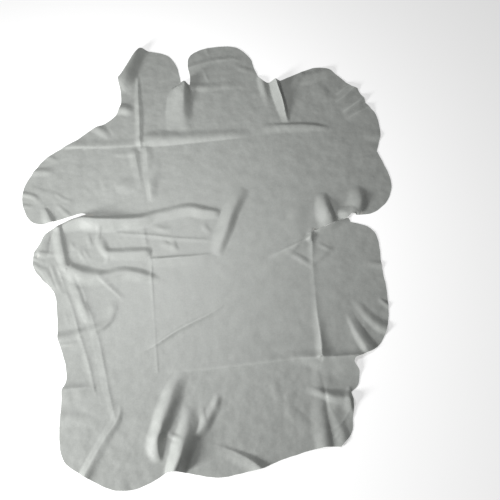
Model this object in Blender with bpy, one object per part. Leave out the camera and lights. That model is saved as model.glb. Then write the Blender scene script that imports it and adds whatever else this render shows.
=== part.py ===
"""A whole tanned cattle hide, spread out grain side up on a flat floor.

The hide is one thin sheet of leather. Its plan is an irregular outline with cheeks at the far
end, fore legs, flanks and hind legs at the sides and the tail edge nearest the viewer. The sheet
lies flat on the floor between folds: the long straight creases left by storing it folded, the
tents at its notches, the buckle at the tail edge and the rolls that run in from the flanks.

Frame: X across the hide, Y along the backbone towards the cheeks, Z up, in metres. The origin is
on the floor under the middle of the hide's bounding box.
"""
from collections import namedtuple

import bpy
import numpy as np
from mathutils import Vector
from mathutils.geometry import delaunay_2d_cdt

for old in list(bpy.data.objects):
    bpy.data.objects.remove(old, do_unlink=True)

MM = 0.001
SUBSTANCE = 1.4 * MM        # thickness of the leather
EDGE_STEP = 34 * MM         # longest step along the cut edge
FOLD_STEP = 42 * MM         # step along a fold for the points laid on it
SHAPE_STEP = 30 * MM        # step along a fold when its height is worked out
LEAST_REACH = 10 * MM       # no side of a fold is narrower than this
WIDE_SIDE = 24 * MM         # a side wider than this also has points half way down
LEAST_GAP = 15 * MM         # no two inner points are closer than this
SIDE_GAP = 19 * MM          # points on the sides of folds keep this far apart
RIM_GAP = 12 * MM           # inner points keep this far from the cut edge
RUN_OUT_GAP = 7 * MM        # a fold's run-out reuses an edge point nearer than this
CLEAR_GAP = 4 * MM          # a link along a crest passes no point closer than this
FLAT_STEP = 125 * MM        # spacing of the grid where the sheet is flat
FLAT_GAP = 69 * MM          # the flat grid keeps this far from every other point
FLAT_ROW = 0.866            # rows of the flat grid lie this share of its spacing apart
HALF_GRID = 12              # the flat grid has this many points each way from the middle

# The cut edge, clockwise from the curled cheek. Each stretch is a smooth curve through its
# points (x, y) in millimetres. Stretches meet at corners of the hide.
OUTLINE = [
    ("curled cheek", [(-500, 1150), (-440, 1245), (-390, 1335), (-360, 1350), (-275, 1332),
                      (-175, 1290), (-125, 1215), (-100, 1065)]),
    ("cheek notch", [(-100, 1065), (-45, 1040)]),
    ("middle cheek", [(-45, 1040), (-40, 1110), (-47, 1195), (-28, 1268), (35, 1305), (120, 1320),
                      (212, 1318), (285, 1300), (345, 1240), (375, 1185)]),
    ("cheek saddle", [(375, 1185), (385, 1110), (410, 1040), (445, 1005), (515, 1000)]),
    ("right cheek", [(515, 1000), (665, 1050), (780, 1080), (870, 1050), (995, 905), (1025, 890)]),
    ("toggle edge", [(1025, 890), (1078, 735), (1105, 695), (1115, 605), (1106, 530),
                     (1065, 425)]),
    ("right fore leg", [(1065, 425), (1105, 265), (1108, 180), (1070, 95), (1012, 42), (950, 15),
                        (875, 15), (830, 22)]),
    ("right slit, upper lip", [(830, 22), (813, 9), (765, -5), (705, -22), (640, -41), (583, -60)]),
    ("right slit, lower lip", [(583, -60), (640, -47), (705, -29), (765, -12), (808, -3),
                               (820, -25)]),
    ("right flank", [(820, -25), (905, -60), (945, -100), (960, -170), (950, -305), (948, -490),
                     (925, -635), (890, -715), (835, -778), (705, -820)]),
    ("flank notch", [(705, -820), (695, -840), (712, -890), (690, -970), (650, -1000)]),
    ("right hind leg", [(650, -1000), (652, -1065), (635, -1135), (620, -1200), (550, -1270)]),
    ("tail edge", [(550, -1270), (465, -1262), (245, -1295), (130, -1325), (45, -1335),
                   (-95, -1345), (-165, -1330), (-310, -1288)]),
    ("left hind leg", [(-310, -1288), (-358, -1287), (-415, -1315), (-530, -1350), (-605, -1347),
                       (-668, -1328), (-765, -1270)]),
    ("left hind corner", [(-765, -1270), (-880, -1180), (-907, -1090), (-890, -805)]),
    ("left flank", [(-890, -805), (-868, -755), (-870, -680), (-910, -515), (-913, -390),
                    (-930, -255), (-1000, -165), (-1040, -105), (-1050, -45), (-1040, 10)]),
    ("flank tip", [(-1040, 10), (-1010, 50), (-980, 105), (-920, 140), (-835, 183), (-735, 210)]),
    ("left fore leg", [(-735, 210), (-758, 219), (-800, 212), (-880, 195), (-1000, 175),
                       (-1065, 205), (-1100, 270), (-1115, 350), (-1100, 440), (-1010, 580)]),
    ("shoulder", [(-1010, 580), (-950, 630), (-785, 720), (-685, 785), (-590, 825), (-530, 875),
                  (-495, 955), (-500, 1150)]),
]

# The two slits between fore leg and flank, as lines (x, y) to (x, y) in millimetres. A fold
# with side +1 stays on the fore leg's side of its slit, and one with side -1 on the flank's side.
LEFT_SLIT = ((-1150, 140), (-735, 212))
RIGHT_SLIT = ((560, -66), (850, 16))

# The folds. Each runs through points (x, y, rise, left, right) in millimetres: the place of the
# crest, its height, and how far the fold reaches to the left and to the right of that run.
# The shape on each side falls from crest to floor as one of these:
#   soft   round crest and round foot     sharp  straight slope with a sharp crest and foot
#   full   round crest and sharp foot     pinch  sharp crest and a hollow, round foot
Fold = namedtuple("Fold", "name left right slit side run")
FOLDS = [
    Fold("row crease at the shoulder", "soft", "full", None, 0, [
        (-910, 680, 4, 65, 10), (-810, 680, 6, 65, 15), (-640, 665, 4, 55, 20),
        (-395, 650, 3, 45, 20)]),
    Fold("row crease in the middle", "soft", "full", None, 0, [
        (-385, 670, 7, 50, 40), (-325, 675, 12, 70, 55), (-170, 665, 11, 65, 50),
        (15, 650, 8, 60, 35), (235, 645, 4, 50, 30), (310, 645, 0, 50, 30)]),
    Fold("row crease at the cheek", "soft", "soft", None, 0, [
        (300, 655, 0, 60, 40), (415, 670, 5, 45, 55), (495, 670, 9, 30, 55),
        (650, 655, 10, 30, 55), (730, 640, 8, 25, 40), (800, 620, 0, 25, 30)]),
    Fold("column crease to the cheek", "sharp", "sharp", None, 0, [
        (-390, 615, 3, 20, 20), (-390, 710, 8, 25, 25), (-385, 880, 9, 25, 30),
        (-385, 985, 7, 25, 25), (-380, 1110, 5, 15, 20), (-380, 1155, 0, 15, 20)]),
    Fold("column crease, right of the crossing", "sharp", "soft", None, 0, [
        (-352, 245, 0, 20, 55), (-350, 290, 5, 22, 60), (-352, 345, 6, 25, 60),
        (-355, 395, 3, 25, 60), (-357, 435, 2, 25, 60), (-358, 485, 4, 25, 62),
        (-357, 540, 6, 25, 60), (-356, 595, 7, 25, 55), (-365, 635, 0, 20, 45)]),
    Fold("column crease, left of the crossing", "soft", "sharp", None, 0, [
        (-400, 345, 0, 40, 20), (-408, 410, 3, 42, 20), (-414, 475, 4, 45, 22),
        (-422, 545, 5, 48, 26), (-427, 590, 6, 50, 30), (-430, 620, 0, 45, 25)]),
    Fold("saddle tent", "sharp", "sharp", None, 0, [
        (545, 685, 0, 35, 20), (540, 740, 13, 40, 20), (530, 850, 33, 50, 25),
        (510, 970, 44, 45, 30), (505, 1025, 44, 40, 30)]),
    Fold("saddle roll", "soft", "soft", None, 0, [
        (450, 815, 0, 40, 35), (435, 890, 6, 40, 35), (425, 995, 12, 40, 40),
        (425, 1045, 12, 40, 40)]),
    Fold("tent below the cheek notch", "full", "soft", None, 0, [
        (-120, 700, 0, 90, 75), (-115, 790, 13, 105, 75), (-105, 895, 32, 105, 70),
        (-92, 965, 44, 100, 60), (-84, 1010, 48, 85, 46), (-79, 1035, 46, 50, 30),
        (-76, 1055, 38, 30, 20)]),
    Fold("roll across the cheek", "soft", "soft", None, 0, [
        (-50, 1030, 10, 45, 40), (20, 1020, 7, 45, 40), (95, 1010, 4, 45, 40),
        (250, 1005, 2, 45, 30), (315, 1005, 0, 45, 30)]),
    Fold("curled rim of the cheek", "soft", "soft", None, 0, [
        (-520, 1110, 36, 40, 95), (-485, 1135, 46, 35, 105), (-430, 1220, 48, 30, 76),
        (-375, 1310, 48, 30, 56), (-345, 1350, 32, 35, 55)]),
    Fold("pinch under the cheek", "soft", "soft", None, 0, [
        (-515, 920, 13, 50, 55), (-465, 910, 13, 50, 55), (-420, 875, 0, 40, 50)]),
    Fold("pinch on the shoulder", "soft", "soft", None, 0, [
        (-670, 805, 8, 50, 45), (-620, 765, 7, 45, 45), (-580, 710, 0, 30, 30)]),
    Fold("column crease down the right", "pinch", "pinch", None, 0, [
        (525, -785, 12, 40, 55), (530, -740, 12, 45, 65), (535, -660, 8, 45, 55),
        (535, -565, 5, 40, 50), (545, -415, 2, 35, 40), (555, -260, 2, 30, 40),
        (570, -150, 4, 35, 35), (575, -95, 7, 40, 35), (585, -55, 0, 35, 35)]),
    Fold("row crease at the flank notch", "pinch", "soft", None, 0, [
        (350, -790, 0, 35, 40), (405, -790, 4, 45, 50), (470, -795, 10, 50, 70),
        (540, -800, 14, 52, 110), (635, -810, 18, 56, 130), (750, -815, 21, 60, 130)]),
    Fold("column crease to the hind leg, left", "soft", "full", None, 0, [
        (465, -1265, 11, 60, 45), (470, -1185, 9, 65, 40), (470, -1100, 6, 65, 35),
        (480, -1025, 4, 60, 30), (490, -945, 3, 55, 25), (495, -865, 2, 50, 20),
        (500, -800, 0, 45, 20)]),
    Fold("column crease to the hind leg, right", "soft", "soft", None, 0, [
        (570, -1280, 7, 55, 45), (570, -1215, 7, 50, 45), (555, -1155, 4, 40, 45),
        (540, -1095, 3, 30, 55), (525, -1030, 3, 20, 55), (520, -950, 2, 15, 55),
        (515, -855, 2, 15, 50), (520, -800, 0, 15, 45)]),
    Fold("row fold of the hind leg", "soft", "soft", None, 0, [
        (410, -960, 0, 35, 25), (495, -990, 11, 35, 30), (555, -1015, 19, 45, 40),
        (670, -1035, 19, 45, 40)]),
    Fold("tail buckle, left ridge", "soft", "soft", None, 0, [
        (-395, -1240, 0, 45, 25), (-400, -1205, 11, 60, 30), (-400, -1160, 20, 75, 30),
        (-395, -1115, 26, 70, 35), (-375, -1065, 28, 65, 45), (-355, -1005, 26, 65, 65),
        (-325, -940, 23, 65, 75), (-295, -870, 14, 55, 70), (-265, -820, 5, 45, 60),
        (-245, -775, 0, 35, 50)]),
    Fold("tail buckle, right ridge", "soft", "soft", None, 0, [
        (-335, -1340, 54, 50, 50), (-315, -1280, 56, 60, 60), (-285, -1220, 54, 70, 65),
        (-265, -1165, 44, 75, 75), (-250, -1110, 25, 60, 90), (-235, -1055, 15, 55, 90),
        (-225, -1010, 7, 50, 75), (-215, -975, 0, 45, 65)]),
    Fold("tail buckle, small ridge", "soft", "soft", None, 0, [
        (-200, -1135, 0, 15, 30), (-170, -1105, 9, 25, 40), (-135, -1060, 12, 45, 45),
        (-105, -1020, 9, 40, 40), (-75, -980, 4, 35, 35), (-55, -945, 0, 25, 25)]),
    Fold("ridge to the hind corner", "sharp", "soft", None, 0, [
        (-800, -1290, 14, 30, 60), (-775, -1240, 11, 32, 58), (-740, -1185, 8, 32, 52),
        (-700, -1120, 6, 30, 45), (-655, -1060, 6, 32, 40), (-614, -1012, 6, 35, 35),
        (-592, -965, 4, 35, 28), (-590, -915, 0, 25, 20)]),
    Fold("flank crease, inner", "sharp", "pinch", None, 0, [
        (-608, -1010, 0, 20, 20), (-622, -945, 3, 25, 25), (-642, -845, 3, 35, 25),
        (-655, -755, 3, 35, 25), (-670, -660, 4, 40, 25), (-685, -570, 4, 45, 35),
        (-705, -490, 3, 40, 35), (-725, -410, 5, 50, 40), (-745, -350, 5, 50, 40),
        (-760, -280, 4, 40, 45), (-800, -175, 0, 40, 45)]),
    Fold("flank crease, outer", "pinch", "pinch", None, 0, [
        (-705, -870, 0, 20, 20), (-720, -820, 2, 30, 20), (-740, -710, 3, 30, 25),
        (-770, -590, 3, 30, 25), (-795, -500, 3, 30, 25), (-815, -415, 4, 40, 25),
        (-835, -340, 3, 45, 30), (-865, -250, 2, 45, 30), (-890, -160, 3, 40, 30),
        (-930, -45, 0, 35, 25)]),
    Fold("ridge across the flank, far", "soft", "soft", None, 0, [
        (-930, -525, 13, 50, 30), (-880, -525, 11, 50, 30), (-810, -518, 9, 50, 30),
        (-735, -505, 8, 45, 30), (-665, -488, 8, 45, 30), (-625, -455, 6, 42, 32),
        (-600, -395, 4, 38, 35), (-598, -340, 0, 30, 35)]),
    Fold("ridge across the flank, near", "pinch", "soft", None, 0, [
        (-915, -808, 13, 50, 85), (-850, -806, 12, 48, 85), (-795, -808, 9, 45, 80),
        (-745, -813, 5, 42, 70), (-710, -820, 0, 40, 60)]),
    Fold("ridge at the flank tip", "soft", "full", LEFT_SLIT, -1, [
        (-860, -105, 7, 45, 20), (-875, -35, 14, 55, 25), (-890, 55, 14, 55, 25),
        (-905, 140, 14, 55, 25), (-910, 180, 14, 55, 25)]),
    Fold("facet at the flank tip", "soft", "full", LEFT_SLIT, -1, [
        (-1005, 5, 10, 35, 50), (-980, 60, 9, 35, 30), (-950, 130, 8, 30, 20),
        (-940, 155, 6, 30, 20)]),
    Fold("roll along the flank", "soft", "soft", None, 0, [
        (-860, -110, 9, 60, 65), (-830, -125, 14, 45, 70), (-780, -155, 16, 55, 75),
        (-715, -180, 14, 55, 70), (-640, -190, 12, 45, 55), (-540, -180, 10, 45, 55),
        (-460, -198, 12, 45, 55), (-400, -222, 9, 40, 50), (-355, -240, 3, 30, 35),
        (-325, -250, 0, 20, 25)]),
    Fold("crease along the flank", "soft", "soft", None, 0, [
        (-665, 60, 0, 35, 40), (-650, 10, 6, 40, 40), (-625, -45, 10, 35, 40),
        (-550, -60, 9, 40, 50), (-390, -75, 9, 40, 50), (-360, -80, 0, 35, 40)]),
    Fold("ridge from the left slit", "soft", "soft", None, 0, [
        (-880, 150, 12, 20, 60), (-820, 172, 22, 20, 70), (-750, 178, 32, 24, 76),
        (-670, 160, 35, 32, 80), (-585, 150, 31, 36, 78), (-530, 145, 25, 38, 70),
        (-400, 140, 17, 42, 68), (-340, 155, 11, 40, 60), (-250, 165, 9, 40, 60),
        (-180, 175, 10, 40, 60), (-120, 175, 12, 42, 60), (-40, 150, 12, 38, 60),
        (35, 130, 8, 30, 50), (60, 120, 0, 30, 50)]),
    Fold("roll in the centre", "soft", "soft", None, 0, [
        (15, -145, 0, 60, 35), (40, -80, 8, 70, 40), (85, 20, 15, 70, 50),
        (125, 115, 17, 70, 50), (170, 190, 13, 60, 50), (225, 265, 0, 40, 45)]),
    Fold("ridge above the right slit", "soft", "full", RIGHT_SLIT, 1, [
        (702, -60, 13, 85, 42), (701, -15, 15, 88, 42), (698, 35, 25, 90, 40),
        (692, 75, 26, 85, 38), (687, 125, 15, 65, 34), (681, 185, 0, 50, 26)]),
    Fold("roll on the fore leg", "soft", "soft", RIGHT_SLIT, 1, [
        (825, 15, 18, 85, 60), (870, 50, 24, 90, 60), (900, 100, 25, 90, 55),
        (900, 150, 14, 80, 55), (875, 205, 0, 65, 50)]),
    Fold("lower lip of the right slit", "full", "soft", RIGHT_SLIT, -1, [
        (583, -58, 3, 20, 30), (640, -42, 11, 20, 45), (700, -22, 19, 20, 52),
        (745, -10, 15, 20, 45), (790, 0, 8, 20, 40), (815, 8, 4, 20, 35)]),
    Fold("toggle pleat, far", "sharp", "sharp", None, 0, [
        (870, 805, 0, 30, 30), (915, 830, 8, 30, 35), (1025, 910, 14, 30, 35)]),
    Fold("toggle pleat, middle", "sharp", "sharp", None, 0, [
        (900, 725, 0, 30, 25), (955, 755, 10, 30, 30), (1085, 835, 15, 35, 30)]),
    Fold("toggle pleat, near", "sharp", "sharp", None, 0, [
        (915, 670, 0, 35, 30), (985, 705, 9, 35, 50), (1125, 765, 12, 35, 55)]),
    Fold("flank pleat, near", "soft", "full", None, 0, [
        (805, -835, 14, 40, 65), (785, -795, 14, 40, 60), (765, -745, 13, 40, 50),
        (740, -680, 9, 35, 45), (720, -615, 4, 30, 35), (705, -555, 0, 25, 30)]),
    Fold("flank pleat, far", "soft", "soft", None, 0, [
        (750, -500, 0, 35, 30), (785, -550, 4, 40, 35), (825, -615, 7, 45, 35),
        (870, -665, 11, 55, 40), (960, -715, 12, 60, 45)]),
    Fold("tuck in the tail edge", "sharp", "soft", None, 0, [
        (-180, -1160, 0, 15, 45), (-70, -1200, 3, 15, 55), (20, -1245, 9, 20, 65),
        (85, -1290, 16, 30, 65), (140, -1340, 22, 40, 65)]),
    Fold("tuck in the fore leg", "soft", "full", LEFT_SLIT, 1, [
        (-925, 145, 14, 55, 20), (-950, 205, 12, 55, 18), (-970, 250, 8, 50, 16),
        (-990, 285, 0, 35, 12)]),
]


def smooth_run(points, step, least=1):
    """A centripetal Catmull-Rom curve through rows of values, whose first two are x and y."""
    pts = np.asarray(points, float)
    if len(pts) == 2:
        count = max(least, int(np.ceil(np.hypot(*(pts[1] - pts[0])[:2]) / step)))
        return pts[0] + (pts[1] - pts[0]) * np.linspace(0, 1, count + 1)[:, None]
    ends = np.vstack([2 * pts[0] - pts[1], pts, 2 * pts[-1] - pts[-2]])
    rows = []
    for p0, p1, p2, p3 in zip(ends, ends[1:], ends[2:], ends[3:]):
        chords = [np.hypot(*(b - a)[:2]) ** 0.5 for a, b in ((p0, p1), (p1, p2), (p2, p3))]
        k0, k1, k2, k3 = np.concatenate([[0.0], np.cumsum(chords)])
        count = max(least, int(np.ceil(np.hypot(*(p2 - p1)[:2]) / step)))
        t = np.linspace(k1, k2, count, endpoint=False)[:, None]
        a1 = ((k1 - t) * p0 + (t - k0) * p1) / (k1 - k0)
        a2 = ((k2 - t) * p1 + (t - k1) * p2) / (k2 - k1)
        a3 = ((k3 - t) * p2 + (t - k2) * p3) / (k3 - k2)
        b1 = ((k2 - t) * a1 + (t - k0) * a2) / (k2 - k0)
        b2 = ((k3 - t) * a2 + (t - k1) * a3) / (k3 - k1)
        rows.append(((k2 - t) * b1 + (t - k1) * b2) / (k2 - k1))
    return np.vstack(rows + [pts[-1:]])


def fold_line(fold, step):
    """The fold's run in metres, with rises kept above the floor."""
    line = smooth_run(np.array(fold.run, float) * MM, step)
    line[:, 2] = np.maximum(line[:, 2], 0.0)
    line[:, 3:] = np.maximum(line[:, 3:], LEAST_REACH)
    return line


def slope_shape(kind, t):
    """Height of one side of a fold, from 1 at the crest (t = 0) to 0 at the foot (t = 1)."""
    if kind == "soft":
        return 0.5 + 0.5 * np.cos(np.pi * t)
    if kind == "full":
        return np.cos(0.5 * np.pi * t)
    if kind == "sharp":
        return 1.0 - t
    return (1.0 - t) ** 2


def fold_height(fold, xy):
    """How far a fold lifts the sheet at each point: its shape across the nearest part of it."""
    line = fold_line(fold, SHAPE_STEP)
    near = np.full(len(xy), np.inf)
    rise, left, right, turn = np.ones((4, len(xy)))
    for a, b in zip(line[:-1], line[1:]):
        along = b[:2] - a[:2]
        part = np.clip((xy - a[:2]) @ along / (along @ along), 0.0, 1.0)
        off = xy - a[:2] - part[:, None] * along
        far = np.hypot(off[:, 0], off[:, 1])
        new = far < near
        near[new] = far[new]
        value = a[2:] + (b[2:] - a[2:]) * part[new, None]
        rise[new], left[new], right[new] = value.T
        turn[new] = (along[0] * off[:, 1] - along[1] * off[:, 0])[new]
    on_left = turn >= 0.0
    reach = np.clip(near / np.where(on_left, left, right), 0.0, 1.0)
    shape = np.where(on_left, slope_shape(fold.left, reach), slope_shape(fold.right, reach))
    if fold.slit:
        (ax, ay), (bx, by) = np.array(fold.slit) * MM
        across = (bx - ax) * (xy[:, 1] - ay) - (by - ay) * (xy[:, 0] - ax)
        shape = shape * (across * fold.side > 0.0)
    return rise * shape


def inside(xy, loop):
    """Which points lie inside a closed loop: an odd number of its edges is crossed."""
    odd = np.zeros(len(xy), bool)
    for (ax, ay), (bx, by) in zip(loop, np.roll(loop, -1, axis=0)):
        spans = (ay > xy[:, 1]) != (by > xy[:, 1])
        if spans.any():
            cross = ax + (xy[:, 1] - ay) / (by - ay + 1e-15) * (bx - ax)
            odd ^= spans & (xy[:, 0] < cross)
    return odd


def crossings(line, loop):
    """Where a fold's run meets the cut edge: (edge number, share along it, point)."""
    met = []
    after = np.roll(loop, -1, axis=0)
    for a, b in zip(line[:-1, :2], line[1:, :2]):
        d, e = b - a, after - loop
        cross = d[0] * e[:, 1] - d[1] * e[:, 0]
        cross[np.abs(cross) < 1e-12] = 1e-12
        gap = loop - a
        t = (gap[:, 0] * e[:, 1] - gap[:, 1] * e[:, 0]) / cross
        u = (gap[:, 0] * d[1] - gap[:, 1] * d[0]) / cross
        for k in np.nonzero((t >= 0) & (t < 1) & (u >= 0) & (u < 1))[0]:
            met.append((k, u[k], a + t[k] * d))
    return met


def edge_loop():
    """The whole cut edge as one closed loop of points, with one where each fold runs out."""
    parts = [smooth_run(np.array(points, float) * MM, EDGE_STEP, 2)[:-1] for _, points in OUTLINE]
    loop = np.vstack(parts)
    met = [m for fold in FOLDS for m in crossings(fold_line(fold, FOLD_STEP), loop)]
    for k, _, point in sorted(met, key=lambda m: (m[0], m[1]), reverse=True):
        if np.hypot(*(loop - point).T).min() > RUN_OUT_GAP:
            loop = np.insert(loop, k + 1, point, axis=0)
    return loop


def spread_points(loop):
    """Inner points: on each crest, half way down and at its feet, then a wide flat grid."""
    crests, rows = [], []
    for fold in FOLDS:
        line = fold_line(fold, FOLD_STEP)
        way = np.gradient(line[:, :2], axis=0)
        way /= np.linalg.norm(way, axis=1)[:, None]
        out = np.column_stack([-way[:, 1], way[:, 0]])
        crests.append(line[:, :2])
        for share in (1.0, -1.0, 0.5, -0.5):
            width = line[:, 3] if share > 0 else line[:, 4]
            keep = (width > WIDE_SIDE) | (abs(share) == 1.0)
            rows.append((line[:, :2] + out * (share * width)[:, None])[keep])
    ways = range(-HALF_GRID, HALF_GRID + 1)
    grid = [((i + 0.5 * (j % 2)) * FLAT_STEP, j * FLAT_STEP * FLAT_ROW) for j in ways for i in ways]
    kept = list(loop)
    for group, gap in ((np.vstack(crests), LEAST_GAP), (np.vstack(rows), SIDE_GAP),
                       (np.array(grid), FLAT_GAP)):
        for point in group[inside(group, loop)]:
            others = np.array(kept)
            away = np.hypot(others[:, 0] - point[0], others[:, 1] - point[1])
            if away[:len(loop)].min() > RIM_GAP and away[len(loop):].min(initial=1.0) > gap:
                kept.append(point)
    return np.array(kept)


def apart(a, b, xy):
    """Distance from the stretch a to b of each point that isn't one of its ends."""
    along = b - a
    part = np.clip((xy - a) @ along / (along @ along), 0.0, 1.0)
    far = np.linalg.norm(xy - a - part[:, None] * along, axis=1)
    ends = np.minimum(np.linalg.norm(xy - a, axis=1), np.linalg.norm(xy - b, axis=1))
    return far[ends > 1e-9]


def cuts(a, b, c, d):
    """Whether the stretches a to b and c to d cross between their ends."""
    def turn(p, q, r):
        return (q[0] - p[0]) * (r[1] - p[1]) - (q[1] - p[1]) * (r[0] - p[0])
    return turn(a, b, c) * turn(a, b, d) < 0 and turn(c, d, a) * turn(c, d, b) < 0


def crest_edges(kept, rim):
    """Links along the sharp crests, so that triangles meet there and never straddle one."""
    links = []
    for fold in FOLDS:
        if fold.left in ("sharp", "pinch") or fold.right in ("sharp", "pinch"):
            line = fold_line(fold, FOLD_STEP)[:, :2]
            chain = []
            for a, b in zip(line[:-1], line[1:]):
                along = b - a
                part = (kept - a) @ along / (along @ along)
                off = np.linalg.norm(kept - a - part[:, None] * along, axis=1)
                on = np.nonzero((off < 1e-7) & (part > -1e-6) & (part < 1 + 1e-6))[0]
                chain += [int(k) for k in on[np.argsort(part[on])] if int(k) not in chain]
            for i, j in zip(chain[:-1], chain[1:]):
                a, b = kept[i], kept[j]
                if apart(a, b, kept).min() < CLEAR_GAP:
                    continue
                if any(cuts(a, b, kept[k], kept[m]) for k, m in links + rim):
                    continue
                links.append((i, j))
    return links


def plan_triangles():
    """Triangles of the hide in plan, none outside its cut edge."""
    loop = edge_loop()
    kept = spread_points(loop)
    rim = [(i, (i + 1) % len(loop)) for i in range(len(loop))]
    links = rim + crest_edges(kept, rim)
    points = [Vector(p) for p in kept]
    verts, _, faces, _, _, _ = delaunay_2d_cdt(points, links, [], 0, 0.01 * MM)
    xy = np.array([v[:] for v in verts])
    tris = np.array([f for f in faces if len(f) == 3])
    tris = tris[inside(xy[tris].mean(axis=1), loop)]
    used, tris = np.unique(tris, return_inverse=True)
    tris = tris.reshape(-1, 3)
    xy = xy[used]
    a, b, c = xy[tris[:, 0]], xy[tris[:, 1]], xy[tris[:, 2]]
    turn = (b[:, 0] - a[:, 0]) * (c[:, 1] - a[:, 1]) - (b[:, 1] - a[:, 1]) * (c[:, 0] - a[:, 0])
    tris[turn < 0] = tris[turn < 0][:, ::-1]
    return xy, tris


def build_hide():
    """The sheet between its two skins: middle surface plus and minus half the substance."""
    xy, tris = plan_triangles()
    rise = sum(fold_height(fold, xy) for fold in FOLDS)
    middle = np.column_stack([xy, rise + 0.5 * SUBSTANCE])
    normal = np.zeros_like(middle)
    face = np.cross(middle[tris[:, 1]] - middle[tris[:, 0]], middle[tris[:, 2]] - middle[tris[:, 0]])
    for corner in range(3):
        np.add.at(normal, tris[:, corner], face)
    normal /= np.linalg.norm(normal, axis=1)[:, None]
    count = len(middle)
    grain = middle + 0.5 * SUBSTANCE * normal
    flesh = middle - 0.5 * SUBSTANCE * normal
    flesh[:, 2] = np.maximum(flesh[:, 2], 0.0)
    sides = np.vstack([tris[:, [0, 1]], tris[:, [1, 2]], tris[:, [2, 0]]])
    known = {(int(a), int(b)) for a, b in sides}
    rim = [(a, b) for a, b in known if (b, a) not in known]
    rim.sort()
    faces = [tuple(int(i) for i in t) for t in tris]
    faces += [tuple(int(i) + count for i in t[::-1]) for t in tris]
    for a, b in rim:
        faces += [(b, a, a + count), (b, a + count, b + count)]
    mesh = bpy.data.meshes.new("hide")
    mesh.from_pydata(np.vstack([grain, flesh]).tolist(), [], faces)
    mesh.update()
    return mesh


leather = bpy.data.materials.new("leather")
leather.use_nodes = True
shader = leather.node_tree.nodes["Principled BSDF"]
shader.inputs["Base Color"].default_value = (0.36, 0.37, 0.35, 1.0)
shader.inputs["Roughness"].default_value = 0.6

hide = bpy.data.objects.new("hide", build_hide())
hide.data.materials.append(leather)
bpy.context.scene.collection.objects.link(hide)
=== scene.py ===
# %% [markdown]
# # A whole leather hide, spread on the floor
#
# A tanned cattle hide is one thin sheet of leather, about 2.2 m across and 2.7 m long. It is cut to
# nothing but the animal's own outline, so its edge wanders: cheeks at the far end, fore legs, flanks
# and hind legs at the sides, the tail edge nearest the viewer. It has been stored folded, so long
# straight creases cross it, and where its edge is notched the slack leather stands up in tents.
#
# The sheet could be draped by a cloth simulation, but that would invent folds of its own. Here each
# fold is given as a soft or sharp ridge with a name, a route and a height.

# %% Load the measured solid
import math
from collections import namedtuple

import bpy
import numpy as np
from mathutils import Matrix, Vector
from mathutils.geometry import delaunay_2d_cdt


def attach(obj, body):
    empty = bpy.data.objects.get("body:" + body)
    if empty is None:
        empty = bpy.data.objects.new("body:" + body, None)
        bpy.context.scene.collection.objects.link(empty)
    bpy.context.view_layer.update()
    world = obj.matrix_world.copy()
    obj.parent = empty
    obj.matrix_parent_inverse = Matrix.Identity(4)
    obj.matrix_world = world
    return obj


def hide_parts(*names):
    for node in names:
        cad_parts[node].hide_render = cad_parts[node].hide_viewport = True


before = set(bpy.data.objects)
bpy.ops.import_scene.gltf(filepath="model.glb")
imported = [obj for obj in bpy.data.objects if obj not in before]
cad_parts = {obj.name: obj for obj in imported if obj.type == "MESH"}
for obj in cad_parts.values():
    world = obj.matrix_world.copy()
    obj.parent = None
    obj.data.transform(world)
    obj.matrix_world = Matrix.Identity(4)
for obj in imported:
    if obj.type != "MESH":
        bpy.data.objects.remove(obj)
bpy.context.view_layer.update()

MM = 0.001

# %% [markdown]
# ## The camera
#
# The hide is seen from a step ladder at its tail end, looking steeply down, so its far end looks
# narrower. The camera is placed from the point that it looks at, its distance, its height angle and
# its heading, which are easier to judge than a position.

# %% The camera
LOOK_AT = Vector((0.2065, -0.130, 0.0))
DISTANCE, HEIGHT_ANGLE, HEADING = 3.5, math.radians(70.0), math.radians(6.8)

eye = bpy.data.cameras.new("camera")
eye.sensor_width, eye.lens = 36.0, 43.2
camera = bpy.data.objects.new("camera", eye)
flat_way = math.cos(HEIGHT_ANGLE)
camera.location = LOOK_AT - DISTANCE * Vector(
    (math.sin(HEADING) * flat_way, math.cos(HEADING) * flat_way, -math.sin(HEIGHT_ANGLE)))
camera.rotation_euler = (math.pi / 2 - HEIGHT_ANGLE, 0.0, -HEADING)
bpy.context.scene.collection.objects.link(camera)
bpy.context.scene.camera = camera
print("camera at", [round(v, 3) for v in camera.location])

# %% [markdown]
# ## The cut edge
#
# Each named stretch of the edge is a row of places, x and y in millimetres, clockwise from the far
# left cheek. A smooth curve runs through the places of a stretch, and two stretches meet at a corner.
# The right slit is cut in, so it has an upper lip that belongs to the fore leg and a lower lip that
# belongs to the flank.

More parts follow.
